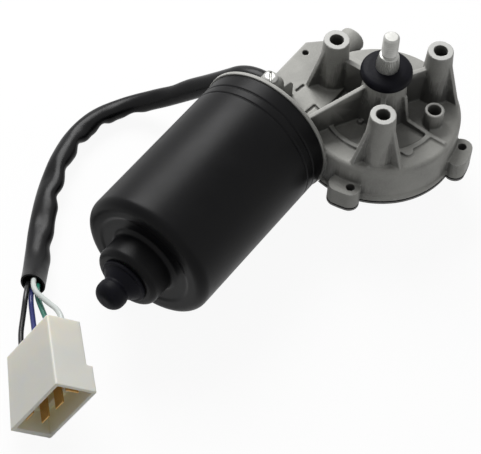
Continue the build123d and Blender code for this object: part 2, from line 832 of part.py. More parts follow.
def make_armature_core():
    """Laminated stack with closed slots."""
    core = ring(core_diameter / 2, motor_shaft_radius, core_front, core_back)
    cutter = slot_cutter(slot_width, slot_opening, core_front, core_back, slot_lip)
    for k in range(slot_count):
        core -= Rot(0, 0, 360.0 * k / slot_count) * cutter
    return in_motor(core)


def make_armature_winding():
    """Copper end turns at both ends, joined through the slots."""
    outer = core_diameter / 2 - winding_inset
    inner = winding_inner_diameter / 2
    rounding = winding_rounding
    winding = turned((inner, core_front), (outer, core_front),
                     (outer, core_front - winding_overhang, rounding),
                     (inner, core_front - winding_overhang, rounding))
    winding += turned((inner, core_back), (outer, core_back),
                      (outer, winding_back, rounding), (inner, winding_back, rounding))
    gap = winding_slot_clearance
    low, high = slot_bottom_diameter / 2 + gap, core_diameter / 2 - slot_lip - gap
    bar = block((low, high), (gap - slot_width / 2, slot_width / 2 - gap),
                (core_front - winding_bar_bite, core_back + winding_bar_bite))
    for k in range(slot_count):
        winding += Rot(0, 0, 360.0 * k / slot_count) * bar
    return in_motor(winding)


def make_commutator_hub():
    """Moulded barrel that carries the commutator bars."""
    return in_motor(ring(commutator_hub_diameter / 2, motor_shaft_radius,
                         commutator_front, commutator_back + commutator_hub_overhang))


def make_commutator_bars():
    """One copper bar with a riser for each slot."""
    outer, inner = commutator_diameter / 2, commutator_hub_diameter / 2
    riser = commutator_riser_diameter / 2
    whole = turned((inner, commutator_front), (riser, commutator_front),
                   (riser, commutator_front + commutator_riser_width),
                   (outer, commutator_front + commutator_riser_width),
                   (outer, commutator_back), (inner, commutator_back))
    for k in range(slot_count):
        slit = block((0, 2 * riser), (-commutator_slit / 2, commutator_slit / 2),
                     (commutator_front, commutator_back))
        whole -= Rot(0, 0, 360.0 * (k + 0.5) / slot_count) * slit
    return in_motor(whole)


def make_armature_washer():
    """Thrust washer on the shaft beside the flange bush."""
    back = flange_bush_front - body_clearance
    front = back - thrust_washer_thickness
    return in_motor(ring(thrust_washer_diameter / 2, motor_shaft_radius, front, back))


# ---------------------------------------------------------------------------------------------------
# Motor bushes, brush gear
# ---------------------------------------------------------------------------------------------------

def make_flange_bush():
    """Sintered bush in the flange."""
    return in_motor(ring(flange_bush_diameter / 2, motor_shaft_radius + running_clearance,
                         flange_bush_front, flange_bush_front + flange_bush_length))


def make_nose_bush():
    """Self-aligning bush in the can's hub."""
    centre = nose_inside + body_clearance + nose_bush_length / 2
    ball = Pos(0, 0, centre) * Sphere(nose_bush_sphere_diameter / 2)
    low, high = centre - nose_bush_length / 2, centre + nose_bush_length / 2
    bush = ball & rod(nose_bush_sphere_diameter, low, high)
    return in_motor(bush - rod(motor_shaft_radius + running_clearance, low, high))


def make_nose_bush_clip():
    """Spring ring that holds the self-aligning bush in the hub."""
    offset = nose_bush_length / 4
    low = nose_inside + body_clearance + nose_bush_length / 2 + offset
    inner = math.sqrt((nose_bush_sphere_diameter / 2) ** 2 - offset ** 2) + seat_clearance
    return in_motor(ring(hub_diameter / 2 - can_wall - seat_clearance, inner, low, low + nose_clip_thickness))


def make_worm_end_bush():
    """Sintered bush at the worm's far end."""
    return in_motor(ring(worm_end_bush_diameter / 2, worm_end_journal_diameter / 2 + running_clearance,
                         tunnel_bore_end, end_bush_end))


def make_thrust_ball():
    """Steel ball between the shaft's end and the adjusting screw."""
    return in_motor(Pos(0, 0, ball_centre) * Sphere(thrust_ball_diameter / 2))


def make_thrust_screw():
    """Slotted grub screw that sets the armature's end play."""
    end = thrust_screw_start + thrust_screw_length
    radius = thrust_screw_diameter / 2
    screw = rod(radius, thrust_screw_start, end)
    slot = block((-radius, radius), (-thrust_screw_slot / 2, thrust_screw_slot / 2),
                 (end - thrust_screw_slot_depth, end))
    return in_motor(screw - slot)


def brush_place(angle):
    """Frame of one brush: local X radial, local Z along the shaft, origin on the brush plate's face."""
    return Rot(0, 0, angle) * Pos(0, 0, spigot_front - brush_plate_thickness)


def make_brush_plate():
    """Insulating plate that seats on the flange's spigot."""
    plate = ring(can_inner_radius - seat_clearance, brush_plate_bore_diameter / 2,
                 spigot_front - brush_plate_thickness, spigot_front)
    return in_motor(plate)


def make_brush_holders():
    """Three sheet-brass boxes on the brush plate."""
    start, end = brush_holder_start_radius, brush_holder_start_radius + brush_holder_length
    wall = brush_holder_wall
    half = brush_width / 2 + seat_clearance
    depth = brush_depth + 2 * seat_clearance
    outer = block((start, end), (-half - wall, half + wall), (-depth - 2 * wall, 0))
    inner = block((start, end - wall), (-half, half), (-depth - wall, -wall))
    return [in_motor(brush_place(angle) * (outer - inner)) for angle in brush_angles]


def make_brushes():
    """Three carbon brushes, hollowed at the end to the commutator's curve."""
    inner = commutator_diameter / 2 + brush_running_gap
    wall = brush_holder_wall + seat_clearance
    brushes = []
    for angle in brush_angles:
        half = brush_width / 2
        brush = block((0, inner + brush_length), (-half, half), (-brush_depth - wall, -wall))
        brush -= rod(inner, -2 * brush_depth, 0)
        brushes.append(in_motor(brush_place(angle) * max(brush.solids(), key=lambda piece: piece.volume)))
    return brushes


def make_brush_springs():
    """Three coil springs behind the brushes."""
    start = commutator_diameter / 2 + brush_running_gap + brush_length
    end = brush_holder_start_radius + brush_holder_length - brush_holder_wall
    radius = (brush_width - brush_spring_wire) / 2 - brush_spring_wire / 2
    length = end - start - brush_spring_wire
    middle = -(brush_holder_wall + seat_clearance + brush_depth / 2)
    path = Helix(pitch=length / brush_spring_turns, height=length, radius=radius)
    profile = Plane(origin=path @ 0, z_dir=path % 0) * Circle(brush_spring_wire / 2)
    coil = sweep(profile, path=path, is_frenet=True)
    place = Pos(start + brush_spring_wire / 2, 0, middle) * Rot(0, 90, 0)
    return [in_motor(brush_place(angle) * place * coil) for angle in brush_angles]


def make_suppressor_chokes():
    """Two rod chokes on the brush plate."""
    core, coil = choke_core_diameter / 2, choke_coil_diameter / 2
    gap = (choke_length - choke_coil_length) / 2
    choke = turned((0, -choke_length), (core, -choke_length), (core, gap - choke_length),
                   (coil, gap - choke_length, choke_coil_rounding), (coil, -gap, choke_coil_rounding),
                   (core, -gap), (core, 0), (0, 0))
    return [in_motor(brush_place(angle) * Pos(choke_radius, 0, 0) * choke) for angle in choke_angles]


# ---------------------------------------------------------------------------------------------------
# Output side
# ---------------------------------------------------------------------------------------------------

def wheel_outline():
    """Toothed outline with a tooth space centred on +Y."""
    flat = math.radians(tooth_pressure_angle)
    base = wheel_pitch_radius * math.cos(flat)

    def involute(radius):
        angle = math.acos(min(base / radius, 1.0))
        return math.tan(angle) - angle

    half_at_pitch = (axial_pitch - tooth_backlash) / (4 * wheel_pitch_radius)
    tip_half = half_at_pitch + involute(wheel_pitch_radius) - involute(wheel_tip_radius)
    root_half = half_at_pitch + involute(wheel_pitch_radius) - involute(wheel_root_radius)
    step = 2 * math.pi / wheel_teeth
    points = []
    for k in range(wheel_teeth):
        middle = math.pi / 2 + (k + 0.5) * step
        for radius, offset in ((wheel_root_radius, -root_half), (wheel_tip_radius, -tip_half),
                               (wheel_tip_radius, tip_half), (wheel_root_radius, root_half)):
            points.append((radius * math.cos(middle + offset), radius * math.sin(middle + offset)))
    return make_face(Polyline(*points, close=True)).face()


def make_worm_wheel():
    """Moulded wheel with slanted teeth, a sunk web and a hub."""
    twist = wheel_width * worm_lead_slope / wheel_pitch_radius
    teeth = Solid.extrude_linear_with_rotation(
        wheel_outline(), (0, 0, 0), (0, 0, wheel_width), math.degrees(twist))
    wheel = Pos(0, 0, wheel_bottom) * Rot(0, 0, -math.degrees(twist) / 2) * teeth
    wheel -= ring(wheel_root_radius - wheel_rim_thickness, wheel_hub_diameter / 2,
                  wheel_top - wheel_recess_depth, wheel_top)
    wheel += rod(wheel_washer_diameter / 2, wheel_top - wheel_hub_sink, wheel_top + wheel_hub_rise)
    return wheel - rod(output_shaft_diameter / 2, wheel_bottom, wheel_top + wheel_hub_rise)


def make_wheel_washer():
    """Washer between the wheel's hub and the housing roof."""
    low = wheel_top + wheel_hub_rise
    return ring(wheel_washer_diameter / 2, output_shaft_diameter / 2, low, low + wheel_washer_thickness)


def make_park_disc():
    """Contact ring under the wheel, notched where the motor parks."""
    outer, inner = park_disc_outer_diameter / 2, park_disc_inner_diameter / 2
    low = wheel_bottom - park_disc_thickness
    notch = sector(2 * outer, outer - park_disc_notch_depth, low, wheel_bottom, 0, park_disc_notch_angle)
    return ring(outer, inner, low, wheel_bottom) - notch


def make_output_shaft():
    """Stepped shaft: journal, circlip groove, taper and threaded end."""
    radius = output_shaft_diameter / 2
    groove = radius - circlip_groove_depth
    cone_top = cone_foot_height + cone_height
    thread = thread_diameter / 2
    top = cone_top + thread_length
    return turned(
        (0, output_shaft_bottom), (radius, output_shaft_bottom), (radius, circlip_low),
        (groove, circlip_low), (groove, circlip_low + circlip_thickness),
        (radius, circlip_low + circlip_thickness), (radius, cone_foot_height),
        (cone_foot_diameter / 2, cone_foot_height), (cone_top_diameter / 2, cone_top), (thread, cone_top),
        (thread, top - thread_chamfer), (thread - thread_chamfer, top), (0, top),
    )


def make_upper_output_bush():
    """Bush at the top of the tower."""
    return ring(output_bush_diameter / 2, output_shaft_diameter / 2 + running_clearance,
                bush_seat - output_bush_length, bush_seat)


def make_lower_output_bush():
    """Bush at the foot of the tower."""
    return ring(output_bush_diameter / 2, output_shaft_diameter / 2 + running_clearance,
                roof_under, roof_under + output_bush_length)


def make_output_washer():
    """Washer under the circlip."""
    low = bush_seat + body_clearance
    return ring(tower_counterbore_diameter / 2 - body_clearance, output_shaft_diameter / 2,
                low, low + output_washer_thickness)


def make_output_circlip():
    """Open snap ring in the shaft's groove."""
    inner = output_shaft_diameter / 2 - circlip_groove_depth
    clip = ring(inner + circlip_rim, inner, circlip_low, circlip_low + circlip_thickness)
    return clip - sector(2 * (inner + circlip_rim), inner / 2, circlip_low, circlip_low + circlip_thickness,
                         circlip_gap_centre_angle, circlip_gap_angle)


def make_shaft_cap():
    """Rubber cap that turns with the shaft and covers the tower's mouth."""
    radius = shaft_cap_diameter / 2
    low = tower_top + body_clearance
    bore = output_shaft_diameter / 2
    return turned((bore, low), (radius - shaft_cap_skirt_radius, low),
                  (radius, low + shaft_cap_skirt_rise, shaft_cap_skirt_radius),
                  (radius, cone_foot_height - shaft_cap_edge_drop, shaft_cap_edge_radius),
                  (shaft_cap_crown_diameter / 2, cone_foot_height, shaft_cap_crown_radius),
                  (bore, cone_foot_height))


# ---------------------------------------------------------------------------------------------------
# Cover and park switch
# ---------------------------------------------------------------------------------------------------

def cover_plan(low, high):
    """Round plate with the four screw ears."""
    plate = rod(cover_radius, low, high)
    for angle in lug_sweep_angles:
        plate += cover_lug(angle, low, high, lug_width / 2)
    return plate


def flange_relief():
    """Room for the motor flange beside the cover and its gasket."""
    return in_motor(rod(can_radius + flange_overhang + body_clearance,
                        spigot_front, flange_back + body_clearance))


def screw_holes(low, high):
    """Clearance holes under the lugs."""
    return [rod(cover_screw_diameter / 2 + seat_clearance, low, high, point_at(lug_circle_radius, angle))
            for angle in lug_sweep_angles]


def make_cover_gasket():
    """Flat gasket between the drum and its cover."""
    gasket = cover_plan(gasket_bottom, drum_bottom) - rod(drum_inner_radius, gasket_bottom, drum_bottom)
    gasket -= flange_relief()
    for hole in screw_holes(gasket_bottom, drum_bottom):
        gasket -= hole
    return gasket


def make_housing_cover():
    """Pressed steel cover with a shallow dish."""
    cover = cover_plan(cover_bottom, gasket_bottom) - flange_relief()
    outer = cover_dish_diameter / 2
    inner = outer - cover_thickness
    dish_bottom = cover_bottom - cover_dish_depth
    cover += turned((0, dish_bottom), (outer - cover_dish_depth, dish_bottom, cover_dish_rounding),
                    (outer, gasket_bottom - cover_thickness / 2), (0, gasket_bottom - cover_thickness / 2))
    floor = dish_bottom + cover_thickness
    cover -= turned((0, floor), (inner - cover_dish_depth, floor), (inner, gasket_bottom), (0, gasket_bottom))
    for hole in screw_holes(cover_bottom, gasket_bottom):
        cover -= hole
    return cover


def screw_cross(head_radius, low, high):
    """Cross recess of a screw head, between two heights."""
    span, half = head_radius * screw_cross_span_share, screw_cross_width / 2
    bar = block((-span, span), (-half, half), (low, high))
    return bar + Rot(0, 0, 90) * bar


def make_cover_screws():
    """Four pan-head screws from below."""
    head, shank = cover_screw_head_diameter / 2, cover_screw_diameter / 2
    low = cover_bottom - cover_screw_head_height
    tip = drum_bottom + cover_screw_bite
    screw = turned((0, low), (head, low, cover_screw_head_rounding), (head, cover_bottom),
                   (shank, cover_bottom), (shank, tip), (0, tip))
    screw -= screw_cross(head, low, low + cover_screw_head_height * screw_cross_depth_share)
    return [Pos(*point_at(lug_circle_radius, angle)) * screw for angle in lug_sweep_angles]


def make_contact_plate():
    """Insulating plate that carries the park switch's springs."""
    return rod(contact_plate_diameter / 2, gasket_bottom, gasket_bottom + contact_plate_thickness)


def make_contact_springs():
    """Three bronze leaves that reach up to the park disc."""
    low = gasket_bottom + contact_plate_thickness
    high = wheel_bottom - park_disc_thickness - body_clearance
    t = contact_spring_thickness
    foot, reach = contact_spring_foot, contact_spring_reach
    tip, drop = contact_spring_tip, contact_spring_tip_drop
    leaf = make_face(Polyline((-reach - foot, low), (-reach, low), (0, high - t), (tip, high - t - drop),
                              (tip, high - drop), (0, high), (-reach - t, low + t), (-reach - foot, low + t),
                              close=True))
    springs = []
    for track in contact_spring_tracks:
        solid = extrude(Plane.XZ * leaf, contact_spring_width / 2, both=True)
        springs.append(Pos(0, -track, 0) * solid)
    return springs


# ---------------------------------------------------------------------------------------------------
# Cable and connector
# ---------------------------------------------------------------------------------------------------

def corner_radii(route):
    """Largest tangent arc at each corner of a route, as a share of its shorter run."""
    points = [Vector(*point) for point in route]
    radii = []
    for before, corner, after in zip(points, points[1:], points[2:]):
        turn = (corner - before).get_angle(after - corner)
        run = min((corner - before).length, (after - corner).length)
        radii.append(corner_share * run / math.tan(math.radians(turn) / 2))
    return radii


def tube(route, diameter, label):
    """Tube of straight runs and tangent arcs along a route."""
    radii = corner_radii(route)
    path = FilletPolyline(*route, radius=radii)
    profile = Plane(origin=path @ 0, z_dir=path % 0) * Circle(diameter / 2)
    solid = sweep(profile, path=path)
    ideal = math.pi * diameter ** 2 / 4 * path.length
    print(f"{label}: length {path.length:.1f}, volume ratio {solid.volume / ideal:.4f}, "
          f"radii {[round(radius, 1) for radius in radii]}")
    return solid


def connector_frame():
    """Plane at the mouth's upper corner: x down the long side, y across, z out of the mouth."""
    heading = math.radians(connector_heading)
    roll = math.radians(connector_roll)
    out = Vector(math.cos(heading), math.sin(heading), 0)
    side = Vector(math.sin(heading), -math.cos(heading), 0)
    up = Vector(0, 0, 1)
    long_way = side * math.cos(roll) - up * math.sin(roll)
    drop = connector_long * math.sin(roll) + connector_short * math.cos(roll)
    corner = Vector(connector_mouth_corner[0], connector_mouth_corner[1], can_floor + drop)
    return Plane(origin=corner, x_dir=long_way, z_dir=out)


connector_plane = connector_frame()


def rectangle_at(low, high, depth):
    """Rectangle between two corners of the connector's section, at a depth from the mouth."""
    size = [b - a for a, b in zip(low, high)]
    middle = [(a + b) / 2 for a, b in zip(low, high)]
    return Pos(middle[0], middle[1], depth) * Rectangle(*size)


def make_connector_housing():
    """Nylon shroud: a tapered block with a wider mouth and a rectangular cavity."""
    step = -connector_shroud_length
    share = connector_shroud_length / connector_length
    inset = connector_rear_inset
    rear_far = (inset + connector_rear_long, inset + connector_rear_short)
    near_step = (inset * share, inset * share)
    long_at_step = connector_long - (connector_long - rear_far[0]) * share
    body = loft([rectangle_at((inset, inset), rear_far, -connector_length),
                 rectangle_at(near_step, (long_at_step, rear_far[1]), step)])
    body += loft([rectangle_at(near_step, (long_at_step, connector_short), step),
                  rectangle_at((0, 0), (connector_long, connector_short), 0)])
    long_edges = [edge for edge in body.edges() if abs((edge % 0.5).Z) > 0.9]
    body = fillet(long_edges, connector_edge_radius)
    wall = connector_wall
    mouth = (step + connector_step_floor, 0)
    body -= block((wall, connector_long - connector_end_wall), (wall, connector_short - wall), mouth)
    body -= block((wall, rear_far[0] - wall), (wall, rear_far[1] - wall), (-connector_cavity_depth, 0))
    for place in terminal_places.values():
        body -= terminal_block(place, -connector_cavity_depth - terminal_root, -connector_cavity_depth)
    return connector_plane.location * body


def terminal_block(place, low, high):
    """Length of one blade, from its place (x, y, turn) in the connector."""
    width, thickness = terminal_blade_width / 2, terminal_blade_thickness / 2
    return Pos(place[0], place[1], 0) * Rot(0, 0, place[2]) * block(
        (-width, width), (-thickness, thickness), (low, high))


def make_connector_terminals():
    """Four brass blades in the connector, one of them crosswise."""
    blades = []
    for place in terminal_places.values():
        blade = terminal_block(place, -connector_cavity_depth - terminal_root, -terminal_setback)
        tip_edges = blade.edges().filter_by(GeomType.LINE).group_by(Axis.Z)[-1]
        long_tips = [edge for edge in tip_edges if edge.length > terminal_blade_width / 2]
        blades.append(connector_plane.location * chamfer(long_tips, terminal_bevel))
    return blades


def wire_route(colour):
    """Corners of one wire, from the sleeve's end to the back of its terminal."""
    end = Vector(*cable_route[-1])
    heading = (end - Vector(*cable_route[-2])).normalized()
    side = heading.cross(Vector(0, 0, 1)).normalized()
    across = point_at(wire_ring_radius, wire_ring_angles[colour])
    start = end + side * across[0] + side.cross(heading) * across[1]
    out = connector_plane.z_dir
    x, y = terminal_places[colour][:2]
    rear = connector_plane.from_local_coords(Vector(x, y, -connector_length))
    near = start + heading * wire_first_lead
    far = rear - out * wire_last_lead
    middle = (near + far) / 2 - Vector(0, 0, wire_sag)
    return [tuple(point) for point in (start, near, middle, far, rear)]


def main():
    """Build every node and write it."""
    os.makedirs("parts", exist_ok=True)
    nodes = {
        "gear_housing": make_gear_housing(),
        "housing_cover": make_housing_cover(),
        "cover_gasket": make_cover_gasket(),
        "cover_screws": make_cover_screws(),
        "motor_can": make_motor_can(),
        "nose_boot": make_nose_boot(),
        "nose_bush": make_nose_bush(),
        "nose_bush_clip": make_nose_bush_clip(),
        "field_magnets": make_field_magnets(),
        "magnet_springs": make_magnet_springs(),
        "flange_bush": make_flange_bush(),
        "worm_end_bush": make_worm_end_bush(),
        "thrust_ball": make_thrust_ball(),
        "thrust_screw": make_thrust_screw(),
        "brush_plate": make_brush_plate(),
        "brush_holders": make_brush_holders(),
        "brushes": make_brushes(),
        "brush_springs": make_brush_springs(),
        "suppressor_chokes": make_suppressor_chokes(),
        "armature_shaft": make_armature_shaft(),
        "armature_core": make_armature_core(),
        "armature_winding": make_armature_winding(),
        "commutator_hub": make_commutator_hub(),
        "commutator_bars": make_commutator_bars(),
        "armature_washer": make_armature_washer(),
        "worm_wheel": make_worm_wheel(),
        "wheel_washer": make_wheel_washer(),
        "park_disc": make_park_disc(),
        "output_shaft": make_output_shaft(),
        "output_washer": make_output_washer(),
        "output_circlip": make_output_circlip(),
        "shaft_cap": make_shaft_cap(),
        "upper_output_bush": make_upper_output_bush(),
        "lower_output_bush": make_lower_output_bush(),
        "contact_plate": make_contact_plate(),
        "contact_springs": make_contact_springs(),
        "cable_grommet": make_cable_grommet(),
        "earth_screw": make_earth_screw(),
        "cable_sleeve": tube(cable_route, sleeve_diameter, "cable_sleeve"),
        "connector_housing": make_connector_housing(),
        "connector_terminals": make_connector_terminals(),
    }
    for colour in terminal_places:
        nodes[f"wire_{colour}"] = tube(wire_route(colour), wire_diameter, f"wire_{colour}")
    for node, shape in nodes.items():
        save(shape, node)


main()
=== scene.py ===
"""Dressed visual model of a worm-gear wiper motor.

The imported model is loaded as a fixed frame. Each sub-assembly below builds its own detailed pieces on that
frame, in metres, and gives them procedural finishes; the studio holds the camera, floor and lamps.
"""

import json
import logging
import math
from dataclasses import dataclass, field
from enum import Enum
from typing import Callable, Sequence

import bmesh
import bpy
import numpy as np
from mathutils import Matrix, Vector
from mathutils.bvhtree import BVHTree

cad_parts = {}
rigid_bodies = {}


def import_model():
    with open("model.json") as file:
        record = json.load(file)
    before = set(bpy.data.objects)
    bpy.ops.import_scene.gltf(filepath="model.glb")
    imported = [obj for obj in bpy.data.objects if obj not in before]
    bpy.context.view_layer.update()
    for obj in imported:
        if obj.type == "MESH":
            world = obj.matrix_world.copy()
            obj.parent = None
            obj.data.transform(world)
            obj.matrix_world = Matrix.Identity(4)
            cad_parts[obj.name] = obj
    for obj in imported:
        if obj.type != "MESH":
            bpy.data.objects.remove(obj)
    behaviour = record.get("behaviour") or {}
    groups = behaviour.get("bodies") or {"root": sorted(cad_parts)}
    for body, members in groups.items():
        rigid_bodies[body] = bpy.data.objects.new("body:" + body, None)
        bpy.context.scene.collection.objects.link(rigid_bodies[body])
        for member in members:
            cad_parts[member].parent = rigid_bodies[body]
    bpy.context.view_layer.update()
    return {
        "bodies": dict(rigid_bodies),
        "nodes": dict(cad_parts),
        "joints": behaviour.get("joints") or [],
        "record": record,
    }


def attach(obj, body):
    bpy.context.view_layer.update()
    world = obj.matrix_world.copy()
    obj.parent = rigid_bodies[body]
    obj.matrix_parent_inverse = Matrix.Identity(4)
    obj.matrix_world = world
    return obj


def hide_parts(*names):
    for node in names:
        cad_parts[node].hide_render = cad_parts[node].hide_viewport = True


LOG = logging.getLogger("wiper_motor")
MM = 0.001

NEAR_AXIS = 1e-6
SAME_POINT = 1e-7
SAME_CORNER = 2e-6
ARC_STEP = math.radians(11)

Piece = bpy.types.Object
Socket = bpy.types.NodeSocket
Point = tuple[float, float, float]
Colour = tuple[float, float, float]
Face = tuple[int, ...]
Profile = list[tuple[float, float]]
ShapeRule = Callable[[np.ndarray], np.ndarray]

EVEN: Point = (1.0, 1.0, 1.0)
WHITE: Colour = (1.0, 1.0, 1.0)


class Body(Enum):
    """CAD bodies that pieces ride on."""

    MOTOR = "motor_body"
    ARMATURE = "armature"
    OUTPUT = "output"


# ---- Finishes ----


class NodeTools:
    """Short ways to add and join nodes in one tree."""

    def __init__(self, tree: bpy.types.NodeTree) -> None:
        """Work on one tree."""
        self.tree = tree

    def add(self, kind: str, **settings: object) -> bpy.types.Node:
        """Add a node and set its properties.

        Args:
            kind: The node's type name.
            settings: Properties of the node.

        Returns:
            The new node.
        """
        node = self.tree.nodes.new(kind)
        for key, value in settings.items():
            setattr(node, key, value)
        return node

    def link(self, start: Socket, end: Socket) -> None:
        """Join two sockets."""
        self.tree.links.new(start, end)

    def spread(
        self, value: Socket, low: float, high: float, to_low: float = 0.0, to_high: float = 1.0
    ) -> Socket:
        """Map a value from one range to another, clamped.

        Args:
            value: The value to map.
            low: Start of the range that is read.
            high: End of the range that is read.
            to_low: Result at low.
            to_high: Result at high.

        Returns:
            The result socket.
        """
        node = self.add("ShaderNodeMapRange")
        for key, number in (("From Min", low), ("From Max", high), ("To Min", to_low), ("To Max", to_high)):
            node.inputs[key].default_value = number
        self.link(value, node.inputs["Value"])
        return node.outputs["Result"]

    def white_rays(self) -> Socket:
        """Mark the rays on which the surroundings are plain white.

        Returns:
            A socket that is 1 on camera, glossy and transmission rays, and 0 on the others.
        """
        path = self.add("ShaderNodeLightPath")
        seen = path.outputs["Is Camera Ray"]
        for kind in ("Is Glossy Ray", "Is Transmission Ray"):
            either = self.add("ShaderNodeMath", operation="MAXIMUM")
            self.link(seen, either.inputs[0])
            self.link(path.outputs[kind], either.inputs[1])
            seen = either.outputs[0]
        return seen


class NodeSheet(NodeTools):
    """One material and short ways to wire its nodes."""

    def __init__(self, name: str) -> None:
        """Start a material with a principled shader joined to its output.

        Args:
            name: The material's name.
        """
        self.material = bpy.data.materials.new(name)
        self.material.use_nodes = True
        super().__init__(self.material.node_tree)
        self.tree.nodes.clear()
        self.output = self.add("ShaderNodeOutputMaterial")
        self.shader = self.add("ShaderNodeBsdfPrincipled")
        self.link(self.shader.outputs["BSDF"], self.output.inputs["Surface"])
        self.place = self.add("ShaderNodeTexCoord").outputs["Object"]

    def constants(self, **values: object) -> None:
        """Set the shader's own sockets, named with underscores for spaces."""
        for key, value in values.items():
            self.shader.inputs[key.replace("_", " ")].default_value = value

    def stretched(self, scale: Point) -> Socket:
        """Object coordinates scaled along each axis.

        Args:
            scale: Factor along x, y and z.

        Returns:
            The vector socket.
        """
        mapping = self.add("ShaderNodeMapping")
        mapping.inputs["Scale"].default_value = scale
        self.link(self.place, mapping.inputs["Vector"])
        return mapping.outputs["Vector"]

    def noise(
        self, scale: float, detail: float = 4.0, rough: float = 0.55, at: Socket | None = None
    ) -> Socket:
        """Fractal noise in the object's own place.

        Args:
            scale: Features per metre.
            detail: Octaves.
            rough: Weight of the finer octaves.
            at: Vector to read it at, the object's place if none.

        Returns:
            The factor socket.
        """
        node = self.add("ShaderNodeTexNoise")
        node.inputs["Scale"].default_value = scale
        node.inputs["Detail"].default_value = detail
        node.inputs["Roughness"].default_value = rough
        self.link(at or self.place, node.inputs["Vector"])
        return node.outputs["Fac"]

    def stored(self, name: str) -> Socket:
        """Value that the mesh stores under a name."""
        return self.add("ShaderNodeAttribute", attribute_name=name).outputs["Fac"]

    def curvature(self) -> Socket:
        """How convex the surface is: above a half on edges, below it in hollows."""
        return self.add("ShaderNodeNewGeometry").outputs["Pointiness"]

    def blend(self, share: Socket, first: Colour | Socket, second: Colour) -> Socket:
        """Mix two colours.

        Args:
            share: Weight of the second colour.
            first: A colour or a colour socket.
            second: A colour.

        Returns:
            The mixed colour's socket.
        """
        node = self.add("ShaderNodeMix", data_type="RGBA")
        self.link(share, node.inputs[0])
        if isinstance(first, Socket):
            self.link(first, node.inputs[6])
        else:
            node.inputs[6].default_value = (*first, 1.0)
        node.inputs[7].default_value = (*second, 1.0)
        return node.outputs[2]

    def bump(
        self, height: Socket, strength: float, depth: float, under: Socket | None = None
    ) -> Socket:
        """Fine relief from a height.

        Args:
            height: Height from 0 to 1.
            strength: Share of the relief.
            depth: Depth of the relief in metres.
            under: Another bump's normal, below this one.

        Returns:
            The normal socket.
        """
        node = self.add("ShaderNodeBump")
        node.inputs["Strength"].default_value = strength
        node.inputs["Distance"].default_value = depth
        self.link(height, node.inputs["Height"])
        if under is not None:
            self.link(under, node.inputs["Normal"])
        return node.outputs["Normal"]

    def finish(
        self,
        colour: Socket | None = None,
        rough: Socket | None = None,
        normal: Socket | None = None,
    ) -> bpy.types.Material:
        """Join what varies over the surface to the shader.

        Args:
            colour: Base colour.
            rough: Roughness.
            normal: Normal.

        Returns:
            The material.
        """
        for socket, key in ((colour, "Base Color"), (rough, "Roughness"), (normal, "Normal")):
            if socket is not None:
                self.link(socket, self.shader.inputs[key])
        return self.material


@dataclass(frozen=True)
class CastMetal:
    """Die-cast light alloy: a blasted skin with fine pits, paler where edges are rubbed, with painted shade
    in its hollows and on the walls that the casting shelters.
    """

    name: str
    dark: Colour = (0.27, 0.268, 0.25)
    light: Colour = (0.41, 0.407, 0.38)
    rubbed: Colour = (0.55, 0.55, 0.53)
    # painted shade: the colour laid in hollows and on sheltered walls
    painted_shade_colour: Colour = (0.06, 0.06, 0.057)
    grain: float = 1900.0
    roughness: tuple[float, float] = (0.45, 0.65)
    metallic: float = 0.08

    def make(self) -> bpy.types.Material:
        """Build the material.

        Returns:
            The material.
        """
        sheet = NodeSheet(self.name)
        sheet.constants(Metallic=self.metallic, Specular_IOR_Level=0.25)
        stains = sheet.noise(42.0, 5.0, 0.6)
        skin = sheet.noise(self.grain, 3.0, 0.6)
        colour = sheet.blend(sheet.spread(stains, 0.3, 0.7), self.dark, self.light)
        colour = sheet.blend(sheet.spread(skin, 0.35, 0.75, 0.0, 0.35), colour, self.rubbed)
        curve = sheet.curvature()
        colour = sheet.blend(sheet.spread(curve, 0.51, 0.56, 0.0, 0.55), colour, self.rubbed)
        # painted shade in hollows, where the curvature is low
        colour = sheet.blend(sheet.spread(curve, 0.49, 0.44, 0.0, 0.55), colour, self.painted_shade_colour)
        # painted shade on walls that the casting shelters, from the stored share
        colour = sheet.blend(sheet.spread(sheet.stored("shelter"), 0.10, 0.50, 0.0, 0.88), colour, self.painted_shade_colour)
        colour = sheet.blend(sheet.stored("trimmed"), colour, self.rubbed)
        rough = sheet.spread(skin, 0.3, 0.7, *self.roughness)
        waves = sheet.bump(sheet.noise(260.0, 2.0), 0.22, 0.4 * MM)
        return sheet.finish(colour, rough, sheet.bump(skin, 0.35, 0.12 * MM, waves))


@dataclass(frozen=True)
class StovedPaint:
    """Black stoved paint on drawn steel: soft gloss, faint orange peel and handling haze."""

    name: str
    dark: Colour = (0.0025, 0.0025, 0.003)
    haze: Colour = (0.005, 0.005, 0.0055)
    roughness: tuple[float, float] = (0.34, 0.46)

    def make(self) -> bpy.types.Material:
        """Build the material.

        Returns:
            The material.
        """
        sheet = NodeSheet(self.name)
        sheet.constants(Specular_IOR_Level=0.1)
        cloud = sheet.noise(28.0, 5.0, 0.6)
        peel = sheet.noise(700.0, 2.0, 0.5)
        colour = sheet.blend(sheet.spread(cloud, 0.35, 0.7), self.dark, self.haze)
        rough = sheet.spread(cloud, 0.3, 0.7, *self.roughness)
        dust = sheet.bump(sheet.noise(4200.0, 2.0), 0.10, 0.05 * MM)
        return sheet.finish(colour, rough, sheet.bump(peel, 0.12, 0.15 * MM, dust))


